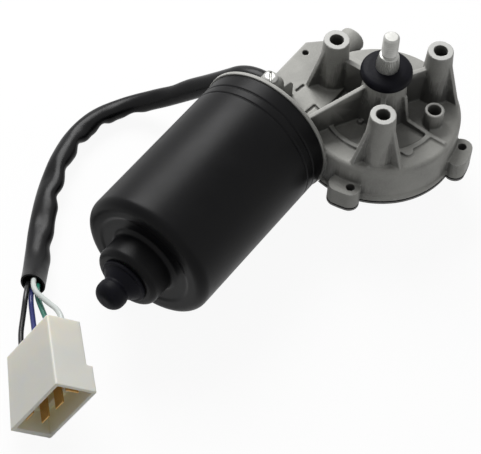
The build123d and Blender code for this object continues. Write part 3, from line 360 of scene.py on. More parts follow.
@dataclass(frozen=True)
class WorkedMetal:
    """Turned, ground, rolled or plated metal with fine tool lines, a light tarnish and painted shade in its
    hollows.
    """

    name: str
    colour: Colour
    tarnish: Colour
    roughness: tuple[float, float] = (0.22, 0.38)
    lines: Point = (1.0, 1.0, 30.0)
    line_scale: float = 220.0
    metallic: float = 0.9
    # share of the tarnish's colour used for the painted shade in hollows
    hollow_shade_share: float = 0.25

    def make(self) -> bpy.types.Material:
        """Build the material.

        Returns:
            The material.
        """
        sheet = NodeSheet(self.name)
        sheet.constants(Metallic=self.metallic)
        cloud = sheet.noise(110.0, 4.0, 0.6)
        tool = sheet.noise(self.line_scale, 3.0, 0.6, sheet.stretched(self.lines))
        colour = sheet.blend(sheet.spread(cloud, 0.35, 0.75), self.colour, self.tarnish)
        curve = sheet.curvature()
        # painted shade in hollows, where the curvature is low
        shade = tuple(part * self.hollow_shade_share for part in self.tarnish)
        colour = sheet.blend(sheet.spread(curve, 0.49, 0.42, 0.0, 0.8), colour, shade)
        rough = sheet.spread(tool, 0.3, 0.7, *self.roughness)
        return sheet.finish(colour, rough, sheet.bump(tool, 0.18, 0.05 * MM))


@dataclass(frozen=True)
class MouldedRubber:
    """Moulded or cut rubber: dull skin with a little bloom."""

    name: str
    dark: Colour = (0.003, 0.003, 0.0045)
    bloom: Colour = (0.006, 0.006, 0.010)
    roughness: tuple[float, float] = (0.42, 0.60)

    def make(self) -> bpy.types.Material:
        """Build the material.

        Returns:
            The material.
        """
        sheet = NodeSheet(self.name)
        sheet.constants(Specular_IOR_Level=0.08)
        bloom = sheet.noise(95.0, 5.0, 0.65)
        skin = sheet.noise(1500.0, 3.0, 0.6)
        colour = sheet.blend(sheet.spread(bloom, 0.35, 0.72), self.dark, self.bloom)
        rough = sheet.spread(skin, 0.3, 0.7, *self.roughness)
        return sheet.finish(colour, rough, sheet.bump(skin, 0.2, 0.08 * MM))


@dataclass(frozen=True)
class SoftVinyl:
    """Extruded flexible vinyl: glossy, with fine draw lines along its length."""

    name: str
    colour: Colour
    second: Colour
    roughness: tuple[float, float] = (0.20, 0.36)
    gloss: float = 0.35

    def make(self) -> bpy.types.Material:
        """Build the material.

        Returns:
            The material.
        """
        sheet = NodeSheet(self.name)
        sheet.constants(Specular_IOR_Level=self.gloss)
        cloud = sheet.noise(70.0, 4.0, 0.6)
        skin = sheet.noise(900.0, 3.0, 0.55)
        colour = sheet.blend(sheet.spread(cloud, 0.3, 0.72), self.colour, self.second)
        rough = sheet.spread(cloud, 0.3, 0.7, *self.roughness)
        ripple = sheet.bump(sheet.noise(160.0, 2.0), 0.25, 0.5 * MM)
        return sheet.finish(colour, rough, sheet.bump(skin, 0.12, 0.06 * MM, ripple))


@dataclass(frozen=True)
class MouldedNylon:
    """Natural moulded nylon: slightly translucent, with painted light inside its cavity, lighter and yellower
    than the outer skin.
    """

    name: str
    colour: Colour = (0.86, 0.83, 0.74)
    cool: Colour = (0.83, 0.82, 0.75)
    # painted light: the lighter, yellower colour laid inside the cavity
    cavity_light: Colour = (0.94, 0.90, 0.72)
    roughness: tuple[float, float] = (0.34, 0.50)

    def make(self) -> bpy.types.Material:
        """Build the material.

        Returns:
            The material.
        """
        sheet = NodeSheet(self.name)
        sheet.constants(
            Specular_IOR_Level=0.45,
            Subsurface_Weight=0.6,
            Subsurface_Scale=5.0 * MM,
            Subsurface_Radius=(1.0, 0.8, 0.5),
        )
        flow = sheet.noise(55.0, 4.0, 0.6)
        skin = sheet.noise(1100.0, 3.0, 0.55)
        colour = sheet.blend(sheet.spread(flow, 0.3, 0.7), self.colour, self.cool)
        # painted light inside the cavity, stronger deeper in
        colour = sheet.blend(sheet.stored("cavity"), colour, self.cavity_light)
        rough = sheet.spread(skin, 0.3, 0.7, *self.roughness)
        sink = sheet.bump(flow, 0.25, 0.5 * MM)
        return sheet.finish(colour, rough, sheet.bump(skin, 0.12, 0.05 * MM, sink))


@dataclass(frozen=True)
class Grained:
    """Pressed, sintered, laminated or fibrous stock of two close colours."""

    name: str
    colour: Colour
    second: Colour
    grain: Point = EVEN
    scale: float = 1200.0
    roughness: float = 0.6
    metallic: float = 0.0

    def make(self) -> bpy.types.Material:
        """Build the material.

        Returns:
            The material.
        """
        sheet = NodeSheet(self.name)
        sheet.constants(Metallic=self.metallic, Roughness=self.roughness)
        speckle = sheet.noise(self.scale, 4.0, 0.6, sheet.stretched(self.grain))
        colour = sheet.blend(sheet.spread(speckle, 0.35, 0.65), self.colour, self.second)
        return sheet.finish(colour, None, sheet.bump(speckle, 0.3, 0.08 * MM))


FINISHES = (
    CastMetal("cast_aluminium"),
    StovedPaint("black_paint"),
    WorkedMetal("zinc_steel", (0.52, 0.52, 0.50), (0.36, 0.36, 0.34), (0.28, 0.45), metallic=0.5),
    # painted shade: a darker, rougher copy of the zinc finish, for the cover
    WorkedMetal("zinc_cover", (0.16, 0.16, 0.155), (0.10, 0.10, 0.095), (0.45, 0.60), metallic=0.5),
    WorkedMetal("bright_steel", (0.62, 0.62, 0.62), (0.48, 0.48, 0.48), (0.15, 0.30)),
    WorkedMetal("spring_steel", (0.36, 0.36, 0.37), (0.24, 0.24, 0.25), (0.25, 0.40)),
    Grained("laminated_steel", (0.30, 0.30, 0.31), (0.17, 0.17, 0.18), (60.0, 1.0, 1.0), 60.0, 0.45, 0.8),
    Grained("sintered_bronze", (0.46, 0.30, 0.14), (0.30, 0.18, 0.08), EVEN, 2600.0, 0.5, 0.8),
    WorkedMetal("brass", (0.66, 0.40, 0.13), (0.50, 0.28, 0.08), (0.35, 0.50), EVEN, metallic=0.45),
    WorkedMetal("copper", (0.62, 0.28, 0.13), (0.42, 0.16, 0.07), (0.22, 0.40), (1.0, 30.0, 30.0)),
    MouldedRubber("black_rubber"),
    MouldedRubber("gasket_rubber", (0.012, 0.012, 0.012), (0.022, 0.022, 0.021), (0.6, 0.75)),
    SoftVinyl("black_vinyl", (0.003, 0.003, 0.0035), (0.005, 0.005, 0.0055), (0.22, 0.40), gloss=0.15),
    SoftVinyl("black_insulation", (0.006, 0.006, 0.007), (0.010, 0.010, 0.011)),
    SoftVinyl("blue_insulation", (0.045, 0.055, 0.21), (0.07, 0.08, 0.27)),
    SoftVinyl("green_insulation", (0.03, 0.20, 0.14), (0.05, 0.26, 0.19)),
    SoftVinyl("white_insulation", (0.66, 0.70, 0.68), (0.58, 0.62, 0.60)),
    MouldedNylon("ivory_nylon"),
    Grained("wheel_polymer", (0.74, 0.72, 0.66), (0.68, 0.65, 0.58), EVEN, 500.0, 0.45),
    Grained("ferrite", (0.055, 0.055, 0.058), (0.085, 0.082, 0.08), EVEN, 1800.0, 0.55),
    Grained("carbon", (0.035, 0.035, 0.036), (0.07, 0.06, 0.05), (1.0, 1.0, 8.0), 1500.0, 0.5),
    Grained("insulator", (0.30, 0.16, 0.07), (0.21, 0.10, 0.045), (1.0, 1.0, 6.0), 700.0, 0.5),
)


@dataclass
class Wardrobe:
    """The finishes by slot name, each made once."""

    made: dict[str, bpy.types.Material] = field(default_factory=dict)

    def fill(self) -> None:
        """Make every finish."""
        for finish in FINISHES:
            self.made[finish.name] = finish.make()

    def dress(self, piece: Piece, slot: str) -> None:
        """Give an object one finish."""
        piece.data.materials.clear()
        piece.data.materials.append(self.made[slot])


# ---- Mesh making ----


@dataclass(frozen=True)
class Spindle:
    """An axis that forms are turned about: where it starts and which way its own x, y and z point."""

    origin: Point
    across: Point
    up: Point
    along: Point

    def matrix(self) -> Matrix:
        """Local millimetres to metres in the row frame."""
        turn = Matrix((self.across, self.up, self.along)).transposed().to_4x4()
        return Matrix.Translation(Vector(self.origin) * MM) @ turn @ Matrix.Scale(MM, 4)


OUTPUT_SPINDLE = Spindle((0.0, 0.0, 0.0), (1.0, 0.0, 0.0), (0.0, 1.0, 0.0), (0.0, 0.0, 1.0))
MOTOR_SPINDLE = Spindle((0.0, 40.5, -40.0), (0.0, 1.0, 0.0), (0.0, 0.0, 1.0), (1.0, 0.0, 0.0))


def rounded_profile(corners: Sequence[tuple[float, ...]], closed: bool = True, step: float = 2.0) -> Profile:
    """Profile from corners (radius, height) or (radius, height, rounding).

    Args:
        corners: Corners in order.
        closed: Whether the last corner joins the first.
        step: Longest straight piece.

    Returns:
        Points (radius, height).
    """
    count = len(corners)
    points = [Vector((corner[0], corner[1])) for corner in corners]
    bends = [corner[2] if len(corner) > 2 else 0.0 for corner in corners]
    line: list[Vector] = []
    for k, point in enumerate(points):
        if bends[k] <= 0 or (not closed and k in (0, count - 1)):
            line.append(point)
            continue
        before = (points[k - 1] - point).normalized()
        after = (points[(k + 1) % count] - point).normalized()
        half = math.acos(max(-1.0, min(1.0, before.dot(after)))) / 2
        reach = bends[k] / math.tan(half)
        centre = point + (before + after).normalized() * (bends[k] / math.sin(half))
        start, end = point + before * reach - centre, point + after * reach - centre
        sweep = math.pi - 2 * half
        bits = max(3, round(sweep / ARC_STEP))
        for bit in range(bits + 1):
            share = bit / bits
            weight = math.sin((1 - share) * sweep), math.sin(share * sweep)
            line.append(centre + (start * weight[0] + end * weight[1]) / math.sin(sweep))
    whole: Profile = []
    joined = list(zip(line, line[1:] + line[:1])) if closed else list(zip(line, line[1:]))
    for start, end in joined:
        bits = max(1, math.ceil((end - start).length / step))
        whole.extend(tuple(start.lerp(end, bit / bits)) for bit in range(bits))
    if not closed:
        whole.append(tuple(line[-1]))
    return whole


def ring_faces(rings: Sequence[Sequence[int]], closed: bool = False) -> list[Face]:
    """Faces between neighbouring rings, where a ring of one vertex closes its neighbour.

    Args:
        rings: Vertex numbers of each ring, in order.
        closed: Whether the last ring joins the first.

    Returns:
        The faces.
    """
    faces: list[Face] = []
    following = [*rings[1:], rings[0]] if closed else rings[1:]
    for first, second in zip(rings, following):
        size = max(len(first), len(second))
        for k in range(size if size > 1 else 0):
            after = (k + 1) % size
            if len(first) == 1:
                faces.append((first[0], second[after], second[k]))
            elif len(second) == 1:
                faces.append((first[k], first[after], second[0]))
            else:
                faces.append((first[k], first[after], second[after], second[k]))
    return faces


def turned_mesh(profile: Profile, segments: int, closed: bool = True) -> tuple[np.ndarray, list[Face]]:
    """Turn a profile about local z.

    Args:
        profile: Points (radius, height).
        segments: Faces round the axis.
        closed: Whether the profile is a loop; if not, its ends lie on the axis.

    Returns:
        Vertices and faces.
    """
    turn = np.linspace(0, 2 * math.pi, segments, endpoint=False)
    verts: list[np.ndarray] = []
    rings: list[range] = []
    total = 0
    for radius, height in profile:
        angles, size = (turn, radius) if radius >= NEAR_AXIS else (turn[:1], 0.0)
        level = np.full(len(angles), height)
        verts.append(np.stack([size * np.cos(angles), size * np.sin(angles), level], 1))
        rings.append(range(total, total + len(angles)))
        total += len(angles)
    return np.concatenate(verts), ring_faces(rings, closed)


def placed(name: str, data: bpy.types.ID) -> Piece:
    """Put an object with the given data in the scene.

    Args:
        name: The object's name.
        data: Its mesh, curve, camera or light.

    Returns:
        The object.
    """
    piece = bpy.data.objects.new(name, data)
    bpy.context.scene.collection.objects.link(piece)
    return piece


def join_doubles(mesh: bpy.types.Mesh, reach: float, outward: bool = False) -> None:
    """Merge vertices that lie close together.

    Args:
        mesh: The mesh.
        reach: Largest distance between merged vertices, in metres.
        outward: Whether the faces are turned outward too.
    """
    work = bmesh.new()
    work.from_mesh(mesh)
    bmesh.ops.remove_doubles(work, verts=work.verts, dist=reach)
    if outward:
        bmesh.ops.recalc_face_normals(work, faces=work.faces)
    work.to_mesh(mesh)
    work.free()


def store(mesh: bpy.types.Mesh, name: str, values: Sequence[float]) -> None:
    """Store one number per vertex on a mesh under a name."""
    layer = mesh.attributes.new(name, "FLOAT", "POINT")
    layer.data.foreach_set("value", np.array(values, dtype=np.float32))


def pressed_in(points: np.ndarray, depth: np.ndarray) -> np.ndarray:
    """Move local points towards the local z axis.

    Args:
        points: Local points, in millimetres.
        depth: How far each point moves, in millimetres.

    Returns:
        The moved points.
    """
    radius = np.hypot(points[:, 0], points[:, 1])
    moved = points.copy()
    moved[:, :2] *= (1 - depth / np.maximum(radius, NEAR_AXIS))[:, None]
    return moved


def new_piece(name: str, verts: np.ndarray, faces: Sequence[Sequence[int]]) -> Piece:
    """Mesh object with merged doubles, outward faces and smooth shading between soft edges.

    Args:
        name: The piece's name.
        verts: Vertices in metres, in the row frame.
        faces: Faces as vertex numbers.

    Returns:
        The object, in the scene.
    """
    mesh = bpy.data.meshes.new(name)
    mesh.from_pydata([tuple(vert) for vert in verts], [], [tuple(face) for face in faces])
    join_doubles(mesh, SAME_POINT, outward=True)
    soften(mesh)
    return placed(name, mesh)


def soften(mesh: bpy.types.Mesh, angle: float = 32.0) -> None:
    """Shade a mesh smooth, except across edges sharper than an angle in degrees."""
    mesh.shade_smooth()
    mesh.set_sharp_from_angle(angle=math.radians(angle))


def turned_piece(
    name: str,
    spindle: Spindle,
    profile: Profile,
    segments: int = 96,
    closed: bool = True,
    shape: ShapeRule | None = None,
) -> Piece:
    """Turned form with an optional rule that moves its local points.

    Args:
        name: The piece's name.
        spindle: The axis.
        profile: Points (radius, height) in millimetres.
        segments: Faces round the axis.
        closed: Whether the profile is a loop.
        shape: Rule from local points to local points, in millimetres.

    Returns:
        The object.
    """
    verts, faces = turned_mesh(profile, segments, closed)
    if shape is not None:
        verts = shape(verts)
    matrix = np.array(spindle.matrix())
    return new_piece(name, verts @ matrix[:3, :3].T + matrix[:3, 3], faces)


def settle(piece: Piece) -> None:
    """Replace a piece's modifiers by the mesh that they make.

    Args:
        piece: The object, which gets a plain mesh.
    """
    graph = bpy.context.evaluated_depsgraph_get()
    made = bpy.data.meshes.new_from_object(piece.evaluated_get(graph), depsgraph=graph)
    piece.modifiers.clear()
    piece.data = made


def cast_copy(node: Piece, name: str, voxel: float, rounds: int, most: int) -> Piece:
    """Copy of a CAD node with the soft edges and corners of a casting or moulding.

    Args:
        node: The CAD node's object.
        name: The copy's name.
        voxel: Size of the smallest feature kept, in millimetres.
        rounds: Smoothing rounds.
        most: Triangles kept at most.

    Returns:
        The copy.
    """
    mesh = node.data.copy()
    mesh.name = name
    join_doubles(mesh, SAME_CORNER)
    piece = placed(name, mesh)
    remesh = piece.modifiers.new("skin", "REMESH")
    remesh.mode = "VOXEL"
    remesh.voxel_size = voxel * MM
    smooth = piece.modifiers.new("smooth", "SMOOTH")
    smooth.factor = 0.5
    smooth.iterations = rounds
    settle(piece)
    triangles = sum(len(face.vertices) - 2 for face in piece.data.polygons)
    if triangles > most:
        thin = piece.modifiers.new("thin", "DECIMATE")
        thin.ratio = most / triangles
        settle(piece)
    piece.data.shade_smooth()
    return piece


# ---- Geometry-node trees ----


class Tree(NodeTools):
    """A geometry-node group that puts copies of one part on points."""

    def __init__(self, name: str, **inputs: str) -> None:
        """Start a group with a geometry input and output.

        Args:
            name: The group's name.
            inputs: The kind of each further input, by its name.
        """
        super().__init__(bpy.data.node_groups.new(name, "GeometryNodeTree"))
        sockets = self.tree.interface
        for side in ("INPUT", "OUTPUT"):
            sockets.new_socket("Geometry", in_out=side, socket_type="NodeSocketGeometry")
        self.inputs: dict[str, str] = {}
        for label, kind in inputs.items():
            made = sockets.new_socket(label, in_out="INPUT", socket_type="NodeSocket" + kind)
            self.inputs[label] = made.identifier
        self.start = self.add("NodeGroupInput")
        self.end = self.add("NodeGroupOutput")

    def copy_part(self, points: Socket, angle: Socket) -> None:
        """Put the part on every point, turned about z, with the finish, and join the output.

        Args:
            points: The points.
            angle: Each point's turn in radians.
        """
        part = self.add("GeometryNodeObjectInfo")
        turn = self.add("ShaderNodeCombineXYZ")
        copies = self.add("GeometryNodeInstanceOnPoints")
        real = self.add("GeometryNodeRealizeInstances")
        paint = self.add("GeometryNodeSetMaterial")
        for start, end in (
            (self.start.outputs["Part"], part.inputs["Object"]),
            (points, copies.inputs["Points"]),
            (part.outputs["Geometry"], copies.inputs["Instance"]),
            (angle, turn.inputs["Z"]),
            (turn.outputs[0], copies.inputs["Rotation"]),
            (copies.outputs[0], real.inputs[0]),
            (real.outputs[0], paint.inputs["Geometry"]),
            (self.start.outputs["Finish"], paint.inputs["Material"]),
            (paint.outputs[0], self.end.inputs[0]),
        ):
            self.link(start, end)

    def run(self, piece: Piece, **values: object) -> None:
        """Put the tree on an object with its inputs set, and keep what it makes.

        Args:
            piece: The object whose mesh goes in and is replaced.
            values: Input values by name.
        """
        modifier = piece.modifiers.new(self.tree.name, "NODES")
        modifier.node_group = self.tree
        for name, value in values.items():
            modifier[self.inputs[name]] = value
        settle(piece)


def points_tree() -> Tree:
    """Tree that puts a copy of one part on every point, turned about z by the point's own angle.

    Returns:
        The tree, with inputs Part and Finish.
    """
    tree = Tree("copies_on_points", Part="Object", Finish="Material")
    angle = tree.add("GeometryNodeInputNamedAttribute", data_type="FLOAT")
    angle.inputs["Name"].default_value = "turn"
    tree.copy_part(tree.start.outputs["Geometry"], angle.outputs["Attribute"])
    return tree


def crown_tree() -> Tree:
    """Tree that turns copies of one part evenly round the z axis, at a height.

    Returns:
        The tree, with inputs Part, Count, Height and Finish.
    """
    tree = Tree("crown_of_copies", Part="Object", Count="Int", Height="Float", Finish="Material")
    count = tree.start.outputs["Count"]
    points = tree.add("GeometryNodePoints")
    index = tree.add("GeometryNodeInputIndex")
    share = tree.add("ShaderNodeMath", operation="DIVIDE")
    angle = tree.add("ShaderNodeMath", operation="MULTIPLY")
    angle.inputs[1].default_value = 2 * math.pi
    place = tree.add("ShaderNodeCombineXYZ")
    tree.link(count, points.inputs["Count"])
    tree.link(index.outputs[0], share.inputs[0])
    tree.link(count, share.inputs[1])
    tree.link(share.outputs[0], angle.inputs[0])
    tree.link(tree.start.outputs["Height"], place.inputs["Z"])
    tree.link(place.outputs[0], points.inputs["Position"])
    tree.copy_part(points.outputs[0], angle.outputs[0])
    return tree


# ---- Sub-assemblies ----


@dataclass
class SubAssembly:
    """What every sub-assembly is built on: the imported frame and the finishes."""

    frame: dict
    wardrobe: Wardrobe

    def node(self, name: str) -> Piece:
        """The CAD node of that name."""
        return self.frame["nodes"][name]

    def fit(self, piece: Piece, body: Body, slot: str, *stands_for: str) -> None:
        """Dress a piece, ride it on a body and report it.

        Args:
            piece: The piece.
            body: The CAD body that it moves with.
            slot: Its material slot.
            stands_for: CAD nodes that it replaces.
        """
        self.wardrobe.dress(piece, slot)
        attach(piece, body.value)
        if stands_for:
            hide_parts(*stands_for)
        LOG.info("%s: %d faces on %s", piece.name, len(getattr(piece.data, "polygons", ())), body.value)


@dataclass
class GearHousing(SubAssembly):
    """Die-cast housing: drum, worm tunnel, tower, mounting bosses and cover lugs."""

    voxel: float = 0.42
    smoothing: int = 2
    most: int = 180_000
    # reach, count and start height of the rays that find the painted shade, and its cut on faces that point
    # up
    reach: float = 16.0
    rays: int = 12
    lift_off: float = 0.3
    upward_shade_cut: float = 0.65
    face_height: float = -0.9
    face_level: float = 0.9

    def store_painted_shade(self, piece: Piece) -> None:
        """Write how much painted shade each vertex takes, from 0 to 1, and mark the trimmed boss faces.

        Walls that the casting itself shelters take the most painted shade; surfaces that face up take less.

        Args:
            piece: The casting.
        """
        mesh = piece.data
        tree = BVHTree.FromPolygons(
            [vert.co for vert in mesh.vertices], [face.vertices for face in mesh.polygons]
        )
        golden = math.pi * (3 - math.sqrt(5))
        fan: list[Point] = []
        for k in range(self.rays):
            lift = (k + 0.5) / self.rays
            flat = math.sqrt(1 - lift**2)
            fan.append((flat * math.cos(golden * k), flat * math.sin(golden * k), lift))
        # share of rays that hit the casting: the painted shade, cut on faces that point up
        closed = np.zeros(len(mesh.vertices), dtype=np.float32)
        for k, vert in enumerate(mesh.vertices):
            normal = vert.normal
            turn = normal.to_track_quat("Z", "Y")
            start = vert.co + normal * self.lift_off * MM
            for ray in fan:
                hit = tree.ray_cast(start, turn @ Vector(ray), self.reach * MM)
                if hit[0] is not None:
                    closed[k] += 1.0 / self.rays
            closed[k] *= 1 - self.upward_shade_cut * max(0.0, normal.z)
        store(mesh, "shelter", closed)
        low = self.face_height * MM
        store(mesh, "trimmed", [v.co.z > low and v.normal.z > self.face_level for v in mesh.vertices])

    def build(self) -> None:
        """Make the softened casting with painted shade in its sheltered places."""
        node = self.node("gear_housing")
        casting = cast_copy(node, "housing_casting", self.voxel, self.smoothing, self.most)
        self.store_painted_shade(casting)
        self.fit(casting, Body.MOTOR, "cast_aluminium", "gear_housing")


@dataclass
class MotorCan(SubAssembly):
    """Deep-drawn steel can with a bearing hub, two rolled grooves and two stakes."""

    radius: float = 34.5
    wall: float = 2.0
    back: float = -40.0
    front: float = -137.2
    corner: float = 5.0
    hub_radius: float = 16.7
    hub_front: float = -151.4
    hub_hole: float = 4.5
    groove_places: tuple[float, ...] = (-48.3, -53.3)
    groove_depth: float = 0.4
    groove_half: float = 0.75
    stake_angles: tuple[float, ...] = (22.0, 202.0)
    stake_at: float = -43.4
    stake_radius: float = 1.8
    stake_depth: float = 0.9
    skin: float = 0.2
    step_rise: float = 0.5
    step_outer: float = 9.0
    step_inner: float = 7.6
    segments: int = 224
    fineness: float = 0.8

    def shape(self, points: np.ndarray) -> np.ndarray:
        """Press the stakes into the outer wall.

        Args:
            points: Local points, in millimetres.

        Returns:
            The moved points.
        """
        radius = np.hypot(points[:, 0], points[:, 1])
        angle = np.degrees(np.arctan2(points[:, 1], points[:, 0]))
        press = np.zeros(len(points))
        for stake in self.stake_angles:
            turn = np.radians((angle - stake + 180) % 360 - 180) * self.radius
            far = np.hypot(turn, points[:, 2] - self.stake_at) / self.stake_radius
            press += self.stake_depth * np.clip(1 - far**2, 0, 1)
        return pressed_in(points, press * (radius > self.radius - self.skin))

    def grooves(self) -> list[tuple[float, ...]]:
        """Profile corners of the rolled grooves, from the can's back forward.

        Returns:
            Radius, place and rounding of each corner.
        """
        corners: list[tuple[float, ...]] = []
        for place in self.groove_places:
            corners.append((self.radius, place + self.groove_half, 0.3))
            corners.append((self.radius - self.groove_depth, place, 0.25))
            corners.append((self.radius, place - self.groove_half, 0.3))
        return corners

    def build(self) -> None:
        """Turn the can and press its marks."""
        inner, hub_inner = self.radius - self.wall, self.hub_radius - self.wall
        corners = (
            (inner, self.back),
            (self.radius, self.back, 0.4),
            *self.grooves(),
            (self.radius, self.front, self.corner),
            (self.hub_radius + self.step_outer, self.front, 3.0),
            (self.hub_radius + self.step_inner, self.front + self.step_rise, 3.0),
            (self.hub_radius, self.front + self.step_rise, 2.4),
            (self.hub_radius, self.hub_front, 3.2),
            (self.hub_hole, self.hub_front, 0.3),
            (self.hub_hole, self.hub_front + self.wall),
            (hub_inner, self.hub_front + self.wall),
            (hub_inner, self.front + self.wall + self.step_rise),
            (inner, self.front + self.wall, self.corner - self.wall),
        )
        profile = rounded_profile(corners, step=self.fineness)
        can = turned_piece("can_shell", MOTOR_SPINDLE, profile, self.segments, shape=self.shape)
        self.fit(can, Body.MOTOR, "black_paint", "motor_can")


@dataclass
class NoseBoot(SubAssembly):
    """Moulded rubber plug on the can's hub: skirt, cone, neck and round nipple."""

    hub_front: float = -151.4
    stem: float = 4.45
    stem_depth: float = 2.0
    foot: float = 12.0
    neck: float = 6.9
    bulb: float = 7.6
    tip: float = -167.0
    segments: int = 80
    fineness: float = 0.7

    def build(self) -> None:
        """Turn the boot."""
        corners = (
            (0.0, self.hub_front + self.stem_depth),
            (self.stem, self.hub_front + self.stem_depth, 0.3),
            (self.stem, self.hub_front, 0.2),
            (self.foot, self.hub_front, 0.3),
            (self.foot, self.hub_front - 1.9, 0.9),
            (self.foot - 1.6, self.hub_front - 2.0, 0.5),
            (self.neck, self.hub_front - 6.2, 1.3),
            (self.bulb, self.hub_front - 8.4, 1.6),
            (self.bulb, self.tip, 5.2),
            (0.0, self.tip),
        )
        profile = rounded_profile(corners, False, self.fineness)
        boot = turned_piece("nose_plug", MOTOR_SPINDLE, profile, self.segments, False)
        self.fit(boot, Body.MOTOR, "black_rubber", "nose_boot")


@dataclass
class OutputShaft(SubAssembly):
    """Output shaft with a knurled cone and a rolled thread."""

    bottom: float = -49.0
    radius: float = 6.0
    cone_foot: float = 5.4
    cone_top: float = 4.6
    cone_low: float = 0.6
    cone_high: float = 9.6
    thread_radius: float = 4.0
    thread_depth: float = 0.62
    thread_pitch: float = 1.25
    top: float = 22.4
    ridge_count: int = 36
    ridge_rise: float = 0.42
    ridge_root: float = 0.35
    ridge_width: float = 0.92
    relief: float = 0.45
    skin: float = 0.1
    segments: int = 72
    fineness: float = 0.16
    # distance from the thread's ends over which the thread fades: start and length
    thread_start: tuple[float, float] = (1.0, 0.9)
    thread_end: tuple[float, float] = (0.6, 0.8)

    def shape(self, points: np.ndarray) -> np.ndarray:
        """Roll the thread into the upper end.

        Args:
            points: Local points, in millimetres.

        Returns:
            The moved points.
        """
        radius = np.hypot(points[:, 0], points[:, 1])
        turn = np.arctan2(points[:, 1], points[:, 0]) / (2 * math.pi)
        height = points[:, 2]
        wave = np.abs(((height / self.thread_pitch - turn) % 1.0) * 2 - 1)
        (start, rise), (end, fall) = self.thread_start, self.thread_end
        window = np.clip((height - self.cone_high - start) / rise, 0, 1)
        window = window * np.clip((self.top - end - height) / fall, 0, 1)
        cut = self.thread_depth * wave * window * (radius > self.thread_radius - self.skin)
        return pressed_in(points, cut)

    def ridge(self) -> Piece:
        """One knurl ridge, standing on the x axis and leaning with the cone.

        Returns:
            The ridge, in the scene until it has been copied.
        """
        half = math.pi * self.cone_foot / self.ridge_count * self.ridge_width
        lean = (self.cone_foot - self.cone_top) / (self.cone_high - self.cone_low)
        # height on the cone, and share of the ridge's full rise
        stations = ((0.5, 0.1), (1.0, 0.8), (2.0, 1.0), (7.4, 1.0), (8.3, 0.75), (8.8, 0.1))
        verts: list[Point] = []
        for height, share in stations:
            out = self.cone_foot - lean * height
            narrow = half * out / self.cone_foot
            root, crest = out - self.ridge_root, out + self.ridge_rise * share
            verts += [(root, -narrow, height), (crest, 0.0, height), (root, narrow, height)]
        rings = [range(k, k + 3) for k in range(0, len(verts), 3)]
        faces = [tuple(reversed(rings[0])), *ring_faces(rings), tuple(rings[-1])]
        return new_piece("knurl_ridge", np.array(verts) * MM, faces)

    def build(self, crown: Tree) -> None:
        """Turn the shaft and set its knurl.

        Args:
            crown: The tree that sets copies round an axis.
        """
        core = self.thread_radius
        corners = (
            (0.0, self.bottom),
            (self.radius - 0.5, self.bottom, 0.3),
            (self.radius, self.bottom + 0.8, 0.3),
            (self.radius, self.cone_low, 0.2),
            (self.cone_foot, self.cone_low, 0.2),
            (self.cone_top, self.cone_high, 0.4),
            (core - self.relief, self.cone_high + 0.3, 0.2),
            (core - self.relief, self.cone_high + 1.2, 0.2),
            (core, self.cone_high + 1.8, 0.2),
            (core, self.top - 1.0, 0.3),
            (core - 1.0, self.top, 0.25),
            (0.0, self.top),
        )
        profile = rounded_profile(corners, False, self.fineness)
        shaft = turned_piece("drive_shaft", OUTPUT_SPINDLE, profile, self.segments, False, self.shape)
        self.fit(shaft, Body.OUTPUT, "zinc_steel", "output_shaft")
        ridge = self.ridge()
        knurl = new_piece("cone_knurl", np.zeros((1, 3)), [])
        finish = self.wardrobe.made["zinc_steel"]
        crown.run(knurl, Part=ridge, Count=self.ridge_count, Height=self.cone_low * MM, Finish=finish)
        bpy.data.objects.remove(ridge)
        soften(knurl.data, 20.0)
        self.fit(knurl, Body.OUTPUT, "zinc_steel")


@dataclass
class ShaftCap(SubAssembly):
    """Rubber cap that turns with the shaft: flat top, rounded rim and a lip over the shaft's shoulder."""

    radius: float = 12.6
    low: float = -5.2
    high: float = 0.6
    bore: float = 5.95
    lip_bore: float = 5.5
    lip_rise: float = 0.35
    lip_gap: float = 0.03
    segments: int = 96
    fineness: float = 0.8

    def build(self) -> None:
        """Turn the cap."""
        corners = (
            (self.bore, self.low),
            (self.radius - 0.9, self.low, 0.5),
            (self.radius, self.low + 1.4, 1.0),
            (self.radius, self.high - 0.9, 2.2),
            (self.radius - 3.4, self.high, 4.0),
            (self.lip_bore, self.high + self.lip_rise, 0.15),
            (self.lip_bore, self.high + self.lip_gap),
            (self.bore, self.high + self.lip_gap),
        )
        profile = rounded_profile(corners, step=self.fineness)
        cap = turned_piece("rubber_cap", OUTPUT_SPINDLE, profile, self.segments)
        self.fit(cap, Body.OUTPUT, "black_rubber", "shaft_cap")


@dataclass(frozen=True)
class WireRun:
    """One insulated wire: its colour and the corners of its route in metres."""

    colour: str
    corners: tuple[Point, ...]
    length: float


